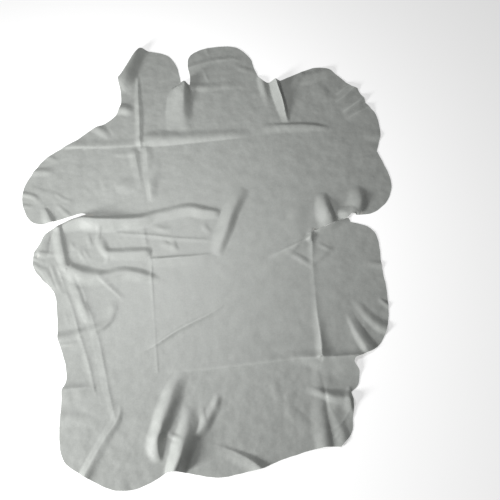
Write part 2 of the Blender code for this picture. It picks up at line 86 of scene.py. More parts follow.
# %% The cut edge
OUTLINE = [
    ("curled cheek", [(-500, 1150), (-440, 1245), (-390, 1335), (-360, 1350), (-275, 1332),
                      (-175, 1290), (-125, 1215), (-100, 1065)]),
    ("cheek notch", [(-100, 1065), (-45, 1040)]),
    ("middle cheek", [(-45, 1040), (-40, 1110), (-47, 1195), (-28, 1268), (35, 1305), (120, 1320),
                      (212, 1318), (285, 1300), (345, 1240), (375, 1185)]),
    ("cheek saddle", [(375, 1185), (385, 1110), (410, 1040), (445, 1005), (515, 1000)]),
    ("right cheek", [(515, 1000), (665, 1050), (780, 1080), (870, 1050), (995, 905), (1025, 890)]),
    ("toggle edge", [(1025, 890), (1078, 735), (1105, 695), (1115, 605), (1106, 530),
                     (1065, 425)]),
    ("right fore leg", [(1065, 425), (1105, 265), (1108, 180), (1070, 95), (1012, 42), (950, 15),
                        (875, 15), (830, 22)]),
    ("right slit, upper lip", [(830, 22), (813, 8), (765, -6.5), (705, -23.5), (640, -42),
                               (583, -60)]),
    ("right slit, lower lip", [(583, -60), (640, -45), (705, -26.5), (765, -9.5), (808, 1),
                               (820, -25)]),
    ("right flank", [(820, -25), (905, -60), (945, -100), (960, -170), (950, -305), (948, -490),
                     (925, -635), (890, -715), (835, -778), (705, -820)]),
    ("flank notch", [(705, -820), (695, -840), (712, -890), (690, -970), (650, -1000)]),
    ("right hind leg", [(650, -1000), (652, -1065), (635, -1135), (620, -1200), (550, -1270)]),
    ("tail edge", [(550, -1270), (465, -1262), (245, -1295), (130, -1325), (45, -1335),
                   (-95, -1345), (-165, -1330), (-310, -1288)]),
    ("left hind leg", [(-310, -1288), (-358, -1287), (-415, -1315), (-530, -1350), (-605, -1347),
                       (-668, -1328), (-765, -1270)]),
    ("left hind corner", [(-765, -1270), (-880, -1180), (-907, -1090), (-890, -805)]),
    ("left flank", [(-890, -805), (-868, -755), (-870, -680), (-910, -515), (-913, -390),
                    (-930, -255), (-1000, -165), (-1040, -105), (-1050, -45), (-1040, 10)]),
    ("flank tip", [(-1040, 10), (-1010, 50), (-980, 105), (-920, 140), (-835, 183), (-735, 210)]),
    ("left fore leg", [(-735, 210), (-758, 219), (-800, 212), (-880, 195), (-1000, 175),
                       (-1065, 205), (-1100, 270), (-1115, 350), (-1100, 440), (-1010, 580)]),
    ("shoulder", [(-1010, 580), (-950, 630), (-785, 720), (-685, 785), (-590, 825), (-530, 875),
                  (-495, 955), (-500, 1150)]),
]

# The slits between fore leg and flank, as lines. A fold may be kept to one side of a slit.
LEFT_SLIT = ((-1150, 140), (-735, 212))
RIGHT_SLIT = ((560, -66), (850, 16))
print(len(OUTLINE), "stretches of edge")

# %% [markdown]
# ## A smooth run through a few places
#
# A listed edge or fold has a place every few centimetres, with a curve between. A Catmull-Rom
# curve passes through every place, unlike a Bezier curve with loose handles. The centripetal kind is
# used because it makes no loops or bumps where places lie at uneven distances.

# %% A smooth run through a few places
def smooth_run(points, step):
    """A centripetal Catmull-Rom curve through rows of values, whose first two are x and y.

    Each stretch between two places is cut into equal parts no longer than step. The knots are
    spaced by the square root of the distance between places, and a point is blended three times:
    between neighbouring places, between those blends, and between the last two."""
    pts = np.asarray(points, float)
    if len(pts) == 2:
        count = max(1, int(np.ceil(np.hypot(*(pts[1] - pts[0])[:2]) / step)))
        return pts[0] + (pts[1] - pts[0]) * np.linspace(0, 1, count + 1)[:, None]
    ends = np.vstack([2 * pts[0] - pts[1], pts, 2 * pts[-1] - pts[-2]])
    rows = []
    for p0, p1, p2, p3 in zip(ends, ends[1:], ends[2:], ends[3:]):
        chords = [np.hypot(*(b - a)[:2]) ** 0.5 for a, b in ((p0, p1), (p1, p2), (p2, p3))]
        k0, k1, k2, k3 = np.concatenate([[0.0], np.cumsum(chords)])
        count = max(1, int(np.ceil(np.hypot(*(p2 - p1)[:2]) / step)))
        t = np.linspace(k1, k2, count, endpoint=False)[:, None]
        a1 = ((k1 - t) * p0 + (t - k0) * p1) / (k1 - k0)
        a2 = ((k2 - t) * p1 + (t - k1) * p2) / (k2 - k1)
        a3 = ((k3 - t) * p2 + (t - k2) * p3) / (k3 - k2)
        b1 = ((k2 - t) * a1 + (t - k0) * a2) / (k2 - k0)
        b2 = ((k3 - t) * a2 + (t - k1) * a3) / (k3 - k1)
        rows.append(((k2 - t) * b1 + (t - k1) * b2) / (k2 - k1))
    return np.vstack(rows + [pts[-1:]])


# %% [markdown]
# ## The folds
#
# A fold is a ridge that the leather rises to along a run. Each place on its run has x and y, the rise
# of the crest, and how far the fold reaches to the left and to the right of the run, all in
# millimetres. Each side falls from the crest to the floor in its own way:
#
# - soft: round crest and round foot, as where slack leather rolls
# - full: round crest and a sharp foot, as where leather bulges over a crease
# - sharp: a straight slope, as on a pressed crease or a tent
# - pinch: a sharp crest and a hollow foot, as where leather is nipped up
#
# Heights of folds that cross are added, which gives the small peaks seen where creases meet. A fold
# that ends at a slit names it after its run, with side 1 for the fore leg and side -1 for the flank.

# %% The storage creases
Fold = namedtuple("Fold", "name left right run slit side", defaults=(None, 0))
CREASES = [
    Fold("row crease at the shoulder", "soft", "full", [
        (-910, 680, 4, 65, 10), (-810, 680, 6, 65, 15), (-640, 665, 4, 55, 20),
        (-395, 650, 3, 45, 20)]),
    Fold("row crease in the middle", "soft", "full", [
        (-385, 670, 7, 50, 40), (-325, 675, 12, 70, 55), (-170, 665, 11, 65, 50),
        (15, 650, 8, 60, 35), (235, 645, 4, 50, 30), (310, 645, 0, 50, 30)]),
    Fold("row crease at the cheek", "soft", "soft", [
        (300, 655, 0, 60, 40), (415, 670, 5, 45, 55), (495, 670, 9, 30, 55),
        (650, 655, 10, 30, 55), (730, 640, 8, 25, 40), (800, 620, 0, 25, 30)]),
    Fold("column crease to the cheek", "sharp", "sharp", [
        (-390, 615, 3, 20, 20), (-390, 710, 8, 25, 25), (-385, 880, 9, 25, 30),
        (-385, 985, 7, 25, 25), (-380, 1110, 5, 15, 20), (-380, 1155, 0, 15, 20)]),
    Fold("column crease, right of the crossing", "sharp", "soft", [
        (-352, 245, 0, 20, 55), (-350, 290, 5, 22, 60), (-352, 345, 6, 25, 60),
        (-355, 395, 3, 25, 60), (-357, 435, 2, 25, 60), (-358, 485, 4, 25, 62),
        (-357, 540, 6, 25, 60), (-356, 595, 7, 25, 55), (-365, 635, 0, 20, 45)]),
    Fold("column crease, left of the crossing", "soft", "sharp", [
        (-400, 345, 0, 40, 20), (-408, 410, 3, 42, 20), (-414, 475, 4, 45, 22),
        (-422, 545, 5, 48, 26), (-427, 590, 6, 50, 30), (-430, 620, 0, 45, 25)]),
    Fold("column crease down the right", "pinch", "pinch", [
        (525, -785, 12, 40, 55), (530, -740, 12, 45, 65), (535, -660, 8, 45, 55),
        (535, -565, 5, 40, 50), (545, -415, 2, 35, 40), (555, -260, 2, 30, 40),
        (570, -150, 4, 35, 35), (575, -95, 7, 40, 35), (585, -55, 0, 35, 35)]),
    Fold("row crease at the flank notch", "pinch", "soft", [
        (350, -790, 0, 35, 40), (405, -790, 4, 45, 50), (470, -795, 10, 50, 70),
        (540, -800, 14, 52, 110), (635, -810, 18, 56, 130), (750, -815, 21, 60, 130)]),
    Fold("column crease to the hind leg, left", "soft", "full", [
        (465, -1265, 11, 60, 45), (470, -1185, 9, 65, 40), (470, -1100, 6, 65, 35),
        (480, -1025, 4, 60, 30), (490, -945, 3, 55, 25), (495, -865, 2, 50, 20),
        (500, -800, 0, 45, 20)]),
    Fold("column crease to the hind leg, right", "soft", "soft", [
        (570, -1280, 7, 55, 45), (570, -1215, 7, 50, 45), (555, -1155, 4, 40, 45),
        (540, -1095, 3, 30, 55), (525, -1030, 3, 20, 55), (520, -950, 2, 15, 55),
        (515, -855, 2, 15, 50), (520, -800, 0, 15, 45)]),
    Fold("row fold of the hind leg", "soft", "soft", [
        (410, -960, 0, 35, 25), (495, -990, 11, 35, 30), (555, -1015, 19, 45, 40),
        (670, -1035, 19, 45, 40)]),
    Fold("column crease in the middle", "pinch", "pinch", [
        (-375, -770, 2, 20, 15), (-375, -480, 1, 20, 15), (-375, -320, 2, 25, 15),
        (-375, -255, 2.5, 25, 15), (-370, -135, 2, 25, 15), (-375, -85, 0, 25, 15)]),
    Fold("diagonal crease", "pinch", "pinch", [
        (-460, -655, 0, 20, 20), (-375, -620, 5, 30, 25), (-260, -560, 7, 30, 25),
        (-175, -525, 6, 35, 30), (-70, -485, 4, 35, 30), (50, -425, 0, 30, 25)]),
    Fold("thin row crease at the hind", "soft", "pinch", [
        (-365, -775, 0, 45, 20), (-200, -785, 3, 45, 20), (-35, -790, 5, 50, 20),
        (75, -790, 6, 50, 25), (185, -790, 7, 60, 25), (295, -790, 7, 60, 25),
        (405, -790, 7, 60, 25), (505, -795, 5, 55, 20)]),
    Fold("column crease below the shoulder tents", "soft", "soft", [
        (-355, 285, 0, 30, 40), (-340, 330, 2, 35, 50), (-325, 390, 4, 45, 50),
        (-310, 440, 4, 45, 50), (-295, 490, 3, 35, 45), (-280, 525, 0, 30, 35)]),
    Fold("row crease right of the notch", "pinch", "pinch", [
        (510, -795, 2, 15, 15), (570, -800, 3, 15, 15), (650, -805, 3, 15, 15),
        (740, -810, 3, 15, 15)]),
]
print(len(CREASES), "storage creases")

# %% [markdown]
# ## Tents and rolls at the cheeks
#
# At each notch of the far edge there is more leather than the floor needs, and it stands up in
# tents that open towards the edge. The tallest is at the saddle between the cheeks. The rim of
# the left cheek has curled over.

# %% Tents and rolls at the cheeks
CHEEKS = [
    Fold("saddle tent", "sharp", "sharp", [
        (545, 685, 0, 35, 20), (540, 740, 13, 40, 20), (530, 850, 33, 50, 25),
        (510, 970, 44, 45, 30), (505, 1025, 44, 40, 30)]),
    Fold("saddle roll", "soft", "soft", [
        (450, 815, 0, 40, 35), (435, 890, 6, 40, 35), (425, 995, 12, 40, 40),
        (425, 1045, 12, 40, 40)]),
    Fold("tent below the cheek notch", "full", "soft", [
        (-120, 700, 0, 90, 75), (-115, 790, 13, 105, 75), (-105, 895, 32, 105, 70),
        (-92, 965, 44, 100, 60), (-84, 1010, 48, 85, 46), (-79, 1035, 46, 50, 30),
        (-76, 1055, 38, 30, 20)]),
    Fold("roll across the cheek", "soft", "soft", [
        (-50, 1030, 10, 45, 40), (20, 1020, 7, 45, 40), (95, 1010, 4, 45, 40),
        (250, 1005, 2, 45, 30), (315, 1005, 0, 45, 30)]),
    Fold("curled rim of the cheek", "soft", "soft", [
        (-520, 1110, 36, 40, 95), (-485, 1135, 46, 35, 105), (-430, 1220, 48, 30, 76),
        (-375, 1310, 48, 30, 56), (-345, 1350, 32, 35, 55)]),
    Fold("pinch under the cheek", "soft", "soft", [
        (-515, 920, 13, 50, 55), (-465, 910, 13, 50, 55), (-420, 875, 0, 40, 50)]),
    Fold("pinch on the shoulder", "soft", "soft", [
        (-670, 805, 8, 50, 45), (-620, 765, 7, 45, 45), (-580, 710, 0, 30, 30)]),
    Fold("far cheek crease", "soft", "pinch", [
        (-45, 1175, 3.5, 40, 35), (70, 1200, 3.5, 40, 35), (180, 1210, 2.5, 40, 35),
        (300, 1200, 0, 40, 35)]),
    Fold("crossed crease on the cheek", "pinch", "soft", [
        (85, 1040, 0, 20, 25), (65, 1085, 2, 20, 25), (50, 1145, 1, 20, 25)]),
    Fold("crossed crease at the cheek's rim", "pinch", "soft", [
        (105, 1240, 0, 20, 30), (90, 1275, 2, 20, 30), (80, 1325, 2, 20, 30)]),
    Fold("cheek wrinkle, near", "soft", "soft", [
        (130, 1240, 0, 25, 25), (180, 1215, 2, 25, 25), (230, 1225, 2, 25, 25),
        (280, 1205, 1, 25, 25), (325, 1185, 0, 25, 25)]),
    Fold("cheek wrinkle, right", "soft", "soft", [
        (250, 1160, 0, 30, 30), (305, 1130, 2, 30, 30), (355, 1105, 2, 30, 30),
        (400, 1085, 1, 30, 30)]),
]
print(len(CHEEKS), "tents and rolls at the cheeks")

# %% [markdown]
# ## Ripples on the left fore leg
#
# The left fore leg and the shoulder lie almost flat. Shallow ripples run in from the rim, and low
# swells lie above the left slit.

# %% Ripples on the left fore leg
FORE_LEG = [
    Fold("tuck in the fore leg", "soft", "full", [
        (-925, 145, 14, 55, 20), (-950, 205, 12, 55, 18), (-970, 250, 8, 50, 16),
        (-990, 285, 0, 35, 12)], LEFT_SLIT, 1),
    Fold("leg edge pinch", "soft", "soft", [
        (-1070, 540, 6, 35, 35), (-1035, 530, 7, 35, 40), (-975, 525, 5, 35, 35),
        (-925, 515, 0, 35, 35)]),
    Fold("leg ripple, outer", "soft", "soft", [
        (-1130, 390, 4, 25, 25), (-1090, 380, 5, 25, 25), (-1040, 355, 4, 25, 25),
        (-1005, 305, 0, 25, 25)]),
    Fold("leg ripple, far", "soft", "soft", [
        (-1075, 435, 0, 20, 30), (-1025, 410, 1.5, 20, 30), (-965, 375, 1.5, 25, 30),
        (-910, 320, 1, 25, 30), (-860, 270, 0, 25, 30)]),
    Fold("leg ripple, middle", "soft", "soft", [
        (-985, 410, 0, 20, 25), (-925, 370, 1.5, 20, 25), (-865, 325, 2, 20, 25),
        (-805, 290, 0, 20, 25)]),
    Fold("leg ripple, rim", "soft", "soft", [
        (-1130, 315, 3, 20, 25), (-1085, 305, 2.5, 20, 25), (-1045, 290, 0, 20, 25)]),
    Fold("leg ripple, near", "soft", "soft", [
        (-925, 310, 0, 20, 25), (-880, 260, 2.5, 20, 25), (-835, 210, 2.5, 20, 25)]),
    Fold("shoulder ripple", "soft", "soft", [
        (-960, 625, 3, 25, 25), (-925, 600, 2.5, 25, 35), (-875, 575, 0, 25, 25)]),
    Fold("nape ripple", "soft", "soft", [
        (-585, 795, 0, 35, 25), (-555, 755, 1.5, 35, 25), (-515, 695, 0, 25, 25)]),
    Fold("swell above the left slit", "soft", "soft", [
        (-560, 365, 0, 60, 55), (-530, 370, 4, 75, 60), (-485, 365, 4, 80, 65),
        (-450, 360, 2, 75, 60), (-425, 350, 0, 55, 40)]),
    Fold("short swell on the shoulder", "soft", "soft", [
        (-615, 350, 0, 30, 35), (-620, 385, 3, 30, 45), (-625, 425, 3, 30, 45),
        (-630, 460, 0, 30, 35)]),
    Fold("low swell on the shoulder", "soft", "soft", [
        (-690, 360, 0, 40, 45), (-655, 365, 2, 40, 55), (-620, 360, 2, 40, 55),
        (-590, 350, 0, 40, 40)]),
    Fold("short crease by the crossing", "soft", "soft", [
        (-575, 595, 0, 30, 30), (-545, 595, 2, 30, 30), (-495, 590, 2, 30, 30),
        (-455, 580, 2, 30, 30), (-435, 560, 0, 25, 25)]),
]
print(len(FORE_LEG), "ripples on the left fore leg")

# %% [markdown]
# ## Folds of the left flank
#
# The left flank was gathered as the hide was thrown down. Rolls run in from the left slit and the
# tip of the flank, two long pressed creases go down to the hind leg, and small wrinkles fan out
# from the tip.

# %% Folds of the left flank
LEFT_FLANK = [
    Fold("flank crease, inner", "sharp", "pinch", [
        (-608, -1010, 0, 20, 20), (-622, -945, 3, 25, 25), (-642, -845, 3, 35, 25),
        (-655, -755, 3, 35, 25), (-670, -660, 4, 40, 25), (-685, -570, 4, 45, 35),
        (-705, -490, 3, 40, 35), (-725, -410, 5, 50, 40), (-745, -350, 5, 50, 40),
        (-760, -280, 4, 40, 45), (-800, -175, 0, 40, 45)]),
    Fold("flank crease, outer", "pinch", "pinch", [
        (-705, -870, 0, 20, 20), (-720, -820, 2, 30, 20), (-740, -710, 3, 30, 25),
        (-770, -590, 3, 30, 25), (-795, -500, 3, 30, 25), (-815, -415, 4, 40, 25),
        (-835, -340, 3, 45, 30), (-865, -250, 2, 45, 30), (-890, -160, 3, 40, 30),
        (-930, -45, 0, 35, 25)]),
    Fold("ridge across the flank, far", "soft", "soft", [
        (-930, -525, 13, 50, 30), (-880, -525, 11, 50, 30), (-810, -518, 9, 50, 30),
        (-735, -505, 8, 45, 30), (-665, -488, 8, 45, 30), (-625, -455, 6, 42, 32),
        (-600, -395, 4, 38, 35), (-598, -340, 0, 30, 35)]),
    Fold("ridge across the flank, near", "pinch", "soft", [
        (-915, -808, 13, 50, 85), (-850, -806, 12, 48, 85), (-795, -808, 9, 45, 80),
        (-745, -813, 5, 42, 70), (-710, -820, 0, 40, 60)]),
    Fold("ridge at the flank tip", "soft", "full", [
        (-860, -105, 7, 45, 20), (-875, -35, 14, 55, 25), (-890, 55, 14, 55, 25),
        (-905, 140, 14, 55, 25), (-910, 180, 14, 55, 25)], LEFT_SLIT, -1),
    Fold("facet at the flank tip", "soft", "full", [
        (-1005, 5, 10, 35, 50), (-980, 60, 9, 35, 30), (-950, 130, 8, 30, 20),
        (-940, 155, 6, 30, 20)], LEFT_SLIT, -1),
    Fold("roll along the flank", "soft", "soft", [
        (-860, -110, 9, 60, 65), (-830, -125, 14, 45, 70), (-780, -155, 16, 55, 75),
        (-715, -180, 14, 55, 70), (-640, -190, 12, 45, 55), (-540, -180, 10, 45, 55),
        (-460, -198, 12, 45, 55), (-400, -222, 9, 40, 50), (-355, -240, 3, 30, 35),
        (-325, -250, 0, 20, 25)]),
    Fold("crease along the flank", "soft", "soft", [
        (-665, 60, 0, 35, 40), (-650, 10, 6, 40, 40), (-625, -45, 10, 35, 40),
        (-550, -60, 9, 40, 50), (-390, -75, 9, 40, 50), (-360, -80, 0, 35, 40)]),
    Fold("ridge from the left slit", "soft", "soft", [
        (-880, 150, 12, 20, 60), (-820, 172, 22, 20, 70), (-750, 178, 32, 24, 76),
        (-670, 160, 35, 32, 80), (-585, 150, 31, 36, 78), (-530, 145, 25, 38, 70),
        (-400, 140, 17, 42, 68), (-340, 155, 11, 40, 60), (-250, 165, 9, 40, 60),
        (-180, 175, 10, 40, 60), (-120, 175, 12, 42, 60), (-40, 150, 12, 38, 60),
        (35, 130, 8, 30, 50), (60, 120, 0, 30, 50)]),
    Fold("roll in the centre", "soft", "soft", [
        (15, -145, 0, 60, 35), (40, -80, 8, 70, 40), (85, 20, 15, 70, 50),
        (125, 115, 17, 70, 50), (170, 190, 13, 60, 50), (225, 265, 0, 40, 45)]),
    Fold("ridge across the hind, left", "soft", "soft", [
        (-915, -945, 5, 40, 60), (-840, -955, 4, 40, 60), (-720, -985, 2, 35, 50),
        (-655, -1000, 0, 35, 40)]),
    Fold("fine crease along the flank", "pinch", "soft", [
        (-390, -115, 0, 20, 55), (-345, -120, 5.5, 20, 60), (-230, -125, 5.5, 20, 60),
        (-85, -130, 3.5, 20, 60), (5, -130, 0, 20, 55)]),
    Fold("fan at the flank tip, first", "soft", "soft", [
        (-940, -220, 2, 15, 25), (-975, -155, 3.5, 20, 25), (-1010, -105, 3.5, 20, 25),
        (-1050, -70, 3, 20, 25)]),
    Fold("fan at the flank tip, second", "soft", "soft", [
        (-910, -260, 0, 15, 25), (-940, -185, 3.5, 15, 25), (-975, -120, 3, 20, 25),
        (-1010, -80, 0, 20, 20)]),
    Fold("fan at the flank tip, third", "soft", "soft", [
        (-875, -285, 0, 15, 25), (-910, -205, 4, 15, 25), (-935, -130, 4, 15, 25),
        (-950, -70, 0, 15, 15)]),
    Fold("fan at the flank tip, rim", "soft", "soft", [
        (-1055, -30, 3, 20, 20), (-1020, -45, 3, 20, 20), (-975, -70, 0, 20, 20)]),
    Fold("cross crease at the flank tip", "soft", "soft", [
        (-1050, -5, 5, 25, 25), (-1000, -15, 4, 25, 25), (-940, -20, 2, 25, 25),
        (-895, -35, 0, 25, 25)]),
    Fold("small wrinkle, first", "soft", "soft", [
        (-710, -95, 0, 20, 20), (-740, -45, 2, 20, 20), (-760, 10, 0, 20, 20)]),
    Fold("small wrinkle, second", "soft", "soft", [
        (-740, -95, 0, 20, 20), (-770, -45, 3, 20, 20), (-785, 5, 0, 20, 20)]),
    Fold("small wrinkle, third", "soft", "soft", [
        (-680, -5, 0, 25, 20), (-670, 45, 3, 25, 20), (-660, 105, 3, 25, 20),
        (-650, 135, 0, 20, 20)]),
    Fold("small wrinkle, fourth", "soft", "soft", [
        (-715, -10, 0, 20, 20), (-720, 35, 3.5, 25, 20), (-730, 85, 0, 20, 20)]),
    Fold("small wrinkle, fifth", "soft", "soft", [
        (-805, -20, 0, 20, 20), (-820, 15, 2, 20, 20), (-830, 55, 0, 20, 20)]),
    Fold("small wrinkle, sixth", "soft", "soft", [
        (-630, -125, 0, 20, 20), (-620, -85, 3, 30, 20), (-620, -50, 0, 20, 20)]),
    Fold("crossing of the column crease", "soft", "sharp", [
        (-385, -60, 0, 30, 20), (-395, -15, 2.5, 30, 20), (-400, 50, 2.5, 30, 20),
        (-400, 95, 0, 25, 20)]),
    Fold("hook crease, row", "soft", "soft", [
        (-310, -10, 0, 25, 35), (-270, -40, 3, 25, 35), (-220, -75, 0, 25, 35)]),
    Fold("hook crease, column", "soft", "soft", [
        (-215, -95, 0, 30, 25), (-230, -50, 3.5, 35, 25), (-235, 0, 0, 30, 25)]),
    Fold("short crease by the centre roll", "soft", "soft", [
        (-10, -5, 0, 30, 25), (-35, 35, 2, 30, 25), (-55, 80, 0, 30, 25)]),
    Fold("soft swell beside the slit ridge", "soft", "soft", [
        (-365, 90, 0, 30, 30), (-305, 65, 3, 30, 25), (-235, 45, 0, 30, 25)]),
    Fold("light diagonal crease", "pinch", "soft", [
        (-535, -365, 0, 15, 30), (-570, -315, 2.5, 15, 35), (-615, -265, 3, 15, 35),
        (-660, -210, 2.5, 20, 30), (-690, -170, 0, 20, 25)]),
    Fold("wedge between the flank creases", "soft", "soft", [
        (-740, -455, 0, 40, 30), (-755, -395, 7, 50, 30), (-778, -330, 8, 52, 30),
        (-800, -265, 7, 50, 30), (-825, -200, 5, 45, 30), (-850, -140, 0, 35, 30)]),
    Fold("ripple under the flank creases", "soft", "soft", [
        (-845, -460, 0, 15, 15), (-860, -410, 1, 15, 15), (-875, -355, 0, 15, 15)]),
    Fold("cross ridge, lower lip", "soft", "soft", [
        (-910, -560, 3.5, 25, 15), (-855, -560, 4.5, 25, 15), (-800, -555, 0, 25, 15)]),
]
print(len(LEFT_FLANK), "folds of the left flank")

# %% [markdown]
# ## Tents and creases at the right slit
#
# The right slit holds two round tents on the fore leg's side, and the flank's lip rises a little to
# meet them. Fine creases leave its end in a diamond round the head of the long column crease.

# %% Tents and creases at the right slit
RIGHT_SLIT_FOLDS = [
    Fold("ridge above the right slit", "soft", "full", [
        (702, -60, 13, 85, 42), (701, -15, 15, 88, 42), (698, 35, 25, 90, 40),
        (692, 75, 26, 85, 38), (687, 125, 15, 65, 34), (681, 185, 0, 50, 26)], RIGHT_SLIT, 1),
    Fold("roll on the fore leg", "soft", "soft", [
        (825, 15, 18, 85, 60), (870, 50, 24, 90, 60), (900, 100, 25, 90, 55),
        (900, 150, 14, 80, 55), (875, 205, 0, 65, 50)], RIGHT_SLIT, 1),
    Fold("lower lip of the right slit", "full", "soft", [
        (583, -58, 3, 20, 30), (640, -42, 11, 20, 45), (700, -22, 19, 20, 52),
        (745, -10, 15, 20, 45), (790, 0, 8, 20, 40), (815, 8, 4, 20, 35)], RIGHT_SLIT, -1),
    Fold("thread ridge from the left slit", "pinch", "soft", [
        (-590, 85, 0, 20, 30), (-540, 65, 1.5, 20, 25), (-365, 30, 2.5, 20, 25),
        (-240, 0, 2.5, 20, 25), (-50, -35, 1.5, 20, 25), (5, -45, 0, 20, 25)]),
    Fold("crease from the right slit", "sharp", "soft", [
        (300, -190, 0, 20, 50), (360, -170, 3.5, 20, 65), (430, -145, 6.5, 20, 65),
        (505, -120, 7.5, 20, 65), (575, -85, 4.5, 20, 50)]),
    Fold("diamond, near left edge", "soft", "soft", [
        (430, -170, 1, 25, 30), (495, -220, 4, 30, 30), (550, -270, 2, 30, 25)]),
    Fold("diamond, far left edge", "soft", "soft", [
        (430, -180, 0.5, 25, 20), (470, -145, 2.5, 30, 20), (510, -100, 2, 30, 20),
        (540, -65, 0, 25, 20)]),
    Fold("diamond, near right edge", "soft", "soft", [
        (570, -245, 1.5, 40, 30), (625, -210, 5, 40, 30), (695, -165, 0, 30, 30)]),
    Fold("diamond, far right edge", "soft", "soft", [
        (595, -130, 0, 20, 25), (645, -165, 2.5, 20, 25), (690, -195, 0, 20, 25)]),
    Fold("facet at the head of the crease", "soft", "sharp", [
        (550, -125, 0, 30, 20), (565, -100, 6, 35, 15), (585, -50, 3, 25, 15)]),
    Fold("roll beside the right tent", "soft", "soft", [
        (425, -30, 0, 60, 70), (475, 5, 3, 65, 80), (520, 65, 4, 70, 80),
        (555, 135, 2.5, 65, 70), (580, 205, 0, 60, 60)]),
    Fold("lip of the right slit", "full", "soft", [
        (725, 30, 3, 25, 30), (770, 40, 9, 40, 40), (830, 35, 6, 40, 40)], RIGHT_SLIT, 1),
]
print(len(RIGHT_SLIT_FOLDS), "tents and creases at the right slit")

# %% [markdown]
# ## The buckle and the tail edge
#
# The tail edge is pushed together into a buckle of two high ridges, the tallest fold on the hide.
# The rest of the edge waves up and down.

# %% The buckle and the tail edge
TAIL = [
    Fold("tail buckle, left ridge", "soft", "soft", [
        (-395, -1240, 0, 45, 25), (-400, -1205, 11, 60, 30), (-400, -1160, 20, 75, 30),
        (-395, -1115, 26, 70, 35), (-375, -1065, 28, 65, 45), (-355, -1005, 26, 65, 65),
        (-325, -940, 23, 65, 75), (-295, -870, 14, 55, 70), (-265, -820, 5, 45, 60),
        (-245, -775, 0, 35, 50)]),
    Fold("tail buckle, right ridge", "soft", "soft", [
        (-335, -1340, 54, 50, 50), (-315, -1280, 56, 60, 60), (-285, -1220, 54, 70, 65),
        (-265, -1165, 44, 75, 75), (-250, -1110, 25, 60, 90), (-235, -1055, 15, 55, 90),
        (-225, -1010, 7, 50, 75), (-215, -975, 0, 45, 65)]),
    Fold("tail buckle, small ridge", "soft", "soft", [
        (-200, -1135, 0, 15, 30), (-170, -1105, 9, 25, 40), (-135, -1060, 12, 45, 45),
        (-105, -1020, 9, 40, 40), (-75, -980, 4, 35, 35), (-55, -945, 0, 25, 25)]),
    Fold("ridge to the hind corner", "sharp", "soft", [
        (-800, -1290, 14, 30, 60), (-775, -1240, 11, 32, 58), (-740, -1185, 8, 32, 52),
        (-700, -1120, 6, 30, 45), (-655, -1060, 6, 32, 40), (-614, -1012, 6, 35, 35),
        (-592, -965, 4, 35, 28), (-590, -915, 0, 25, 20)]),
    Fold("tuck in the tail edge", "sharp", "soft", [
        (-180, -1160, 0, 15, 45), (-70, -1200, 3, 15, 55), (20, -1245, 9, 20, 65),
        (85, -1290, 16, 30, 65), (140, -1340, 22, 40, 65)]),
    Fold("tail ripple", "soft", "soft", [
        (230, -900, 0, 30, 30), (245, -930, 2, 40, 30), (250, -975, 1.5, 35, 30),
        (265, -1015, 0, 30, 30)]),
    Fold("tail roll", "soft", "soft", [
        (275, -985, 0, 40, 50), (320, -1055, 3, 40, 55), (375, -1125, 2.5, 40, 55),
        (420, -1180, 0, 40, 55)]),
    Fold("swell below the small ridge", "soft", "soft", [
        (-145, -1070, 0, 30, 20), (-150, -1025, 4, 35, 20), (-145, -985, 0, 30, 20)]),
    Fold("head of the small ridge", "soft", "soft", [
        (-100, -995, 0, 30, 25), (-75, -965, 5, 30, 30), (-55, -920, 0, 30, 30)]),
    Fold("pinch between the ridges", "soft", "soft", [
        (-380, -1080, 0, 20, 20), (-340, -1100, 4, 20, 25), (-300, -1120, 5, 20, 25),
        (-260, -1145, 0, 20, 20)]),
    Fold("swell at the hind crease", "soft", "soft", [
        (290, -1005, 0, 35, 35), (320, -985, 3, 35, 40), (360, -975, 0, 35, 35)]),
    Fold("hind leg swell", "soft", "soft", [
        (-575, -1360, 2.5, 40, 40), (-595, -1315, 2, 40, 40), (-600, -1265, 0, 35, 35)]),
    Fold("hind corner rim", "soft", "soft", [
        (-745, -1300, 1.5, 20, 25), (-730, -1265, 1, 20, 25), (-715, -1235, 0, 20, 20)]),
    Fold("hind leg patch", "soft", "soft", [
        (-760, -1080, 0, 30, 40), (-765, -1030, 1, 30, 40), (-745, -980, 0, 30, 40)]),
    Fold("scratch ridge across the hind leg", "pinch", "pinch", [
        (440, -1195, 0, 15, 15), (485, -1185, 1, 15, 15), (535, -1175, 1.4, 15, 15),
        (580, -1145, 1.4, 15, 15), (620, -1100, 1.2, 15, 15), (640, -1070, 0, 15, 15)]),
    Fold("short scratch ridge", "pinch", "pinch", [
        (510, -1230, 0, 15, 15), (535, -1215, 1.4, 15, 15), (560, -1190, 0, 15, 15)]),
]
print(len(TAIL), "folds at the buckle and the tail edge")

# %% [markdown]
# ## Pleats along the right edge
#
# The right edge was stretched on toggles to dry. Between the toggles it has short pleats at right
# angles to the edge.

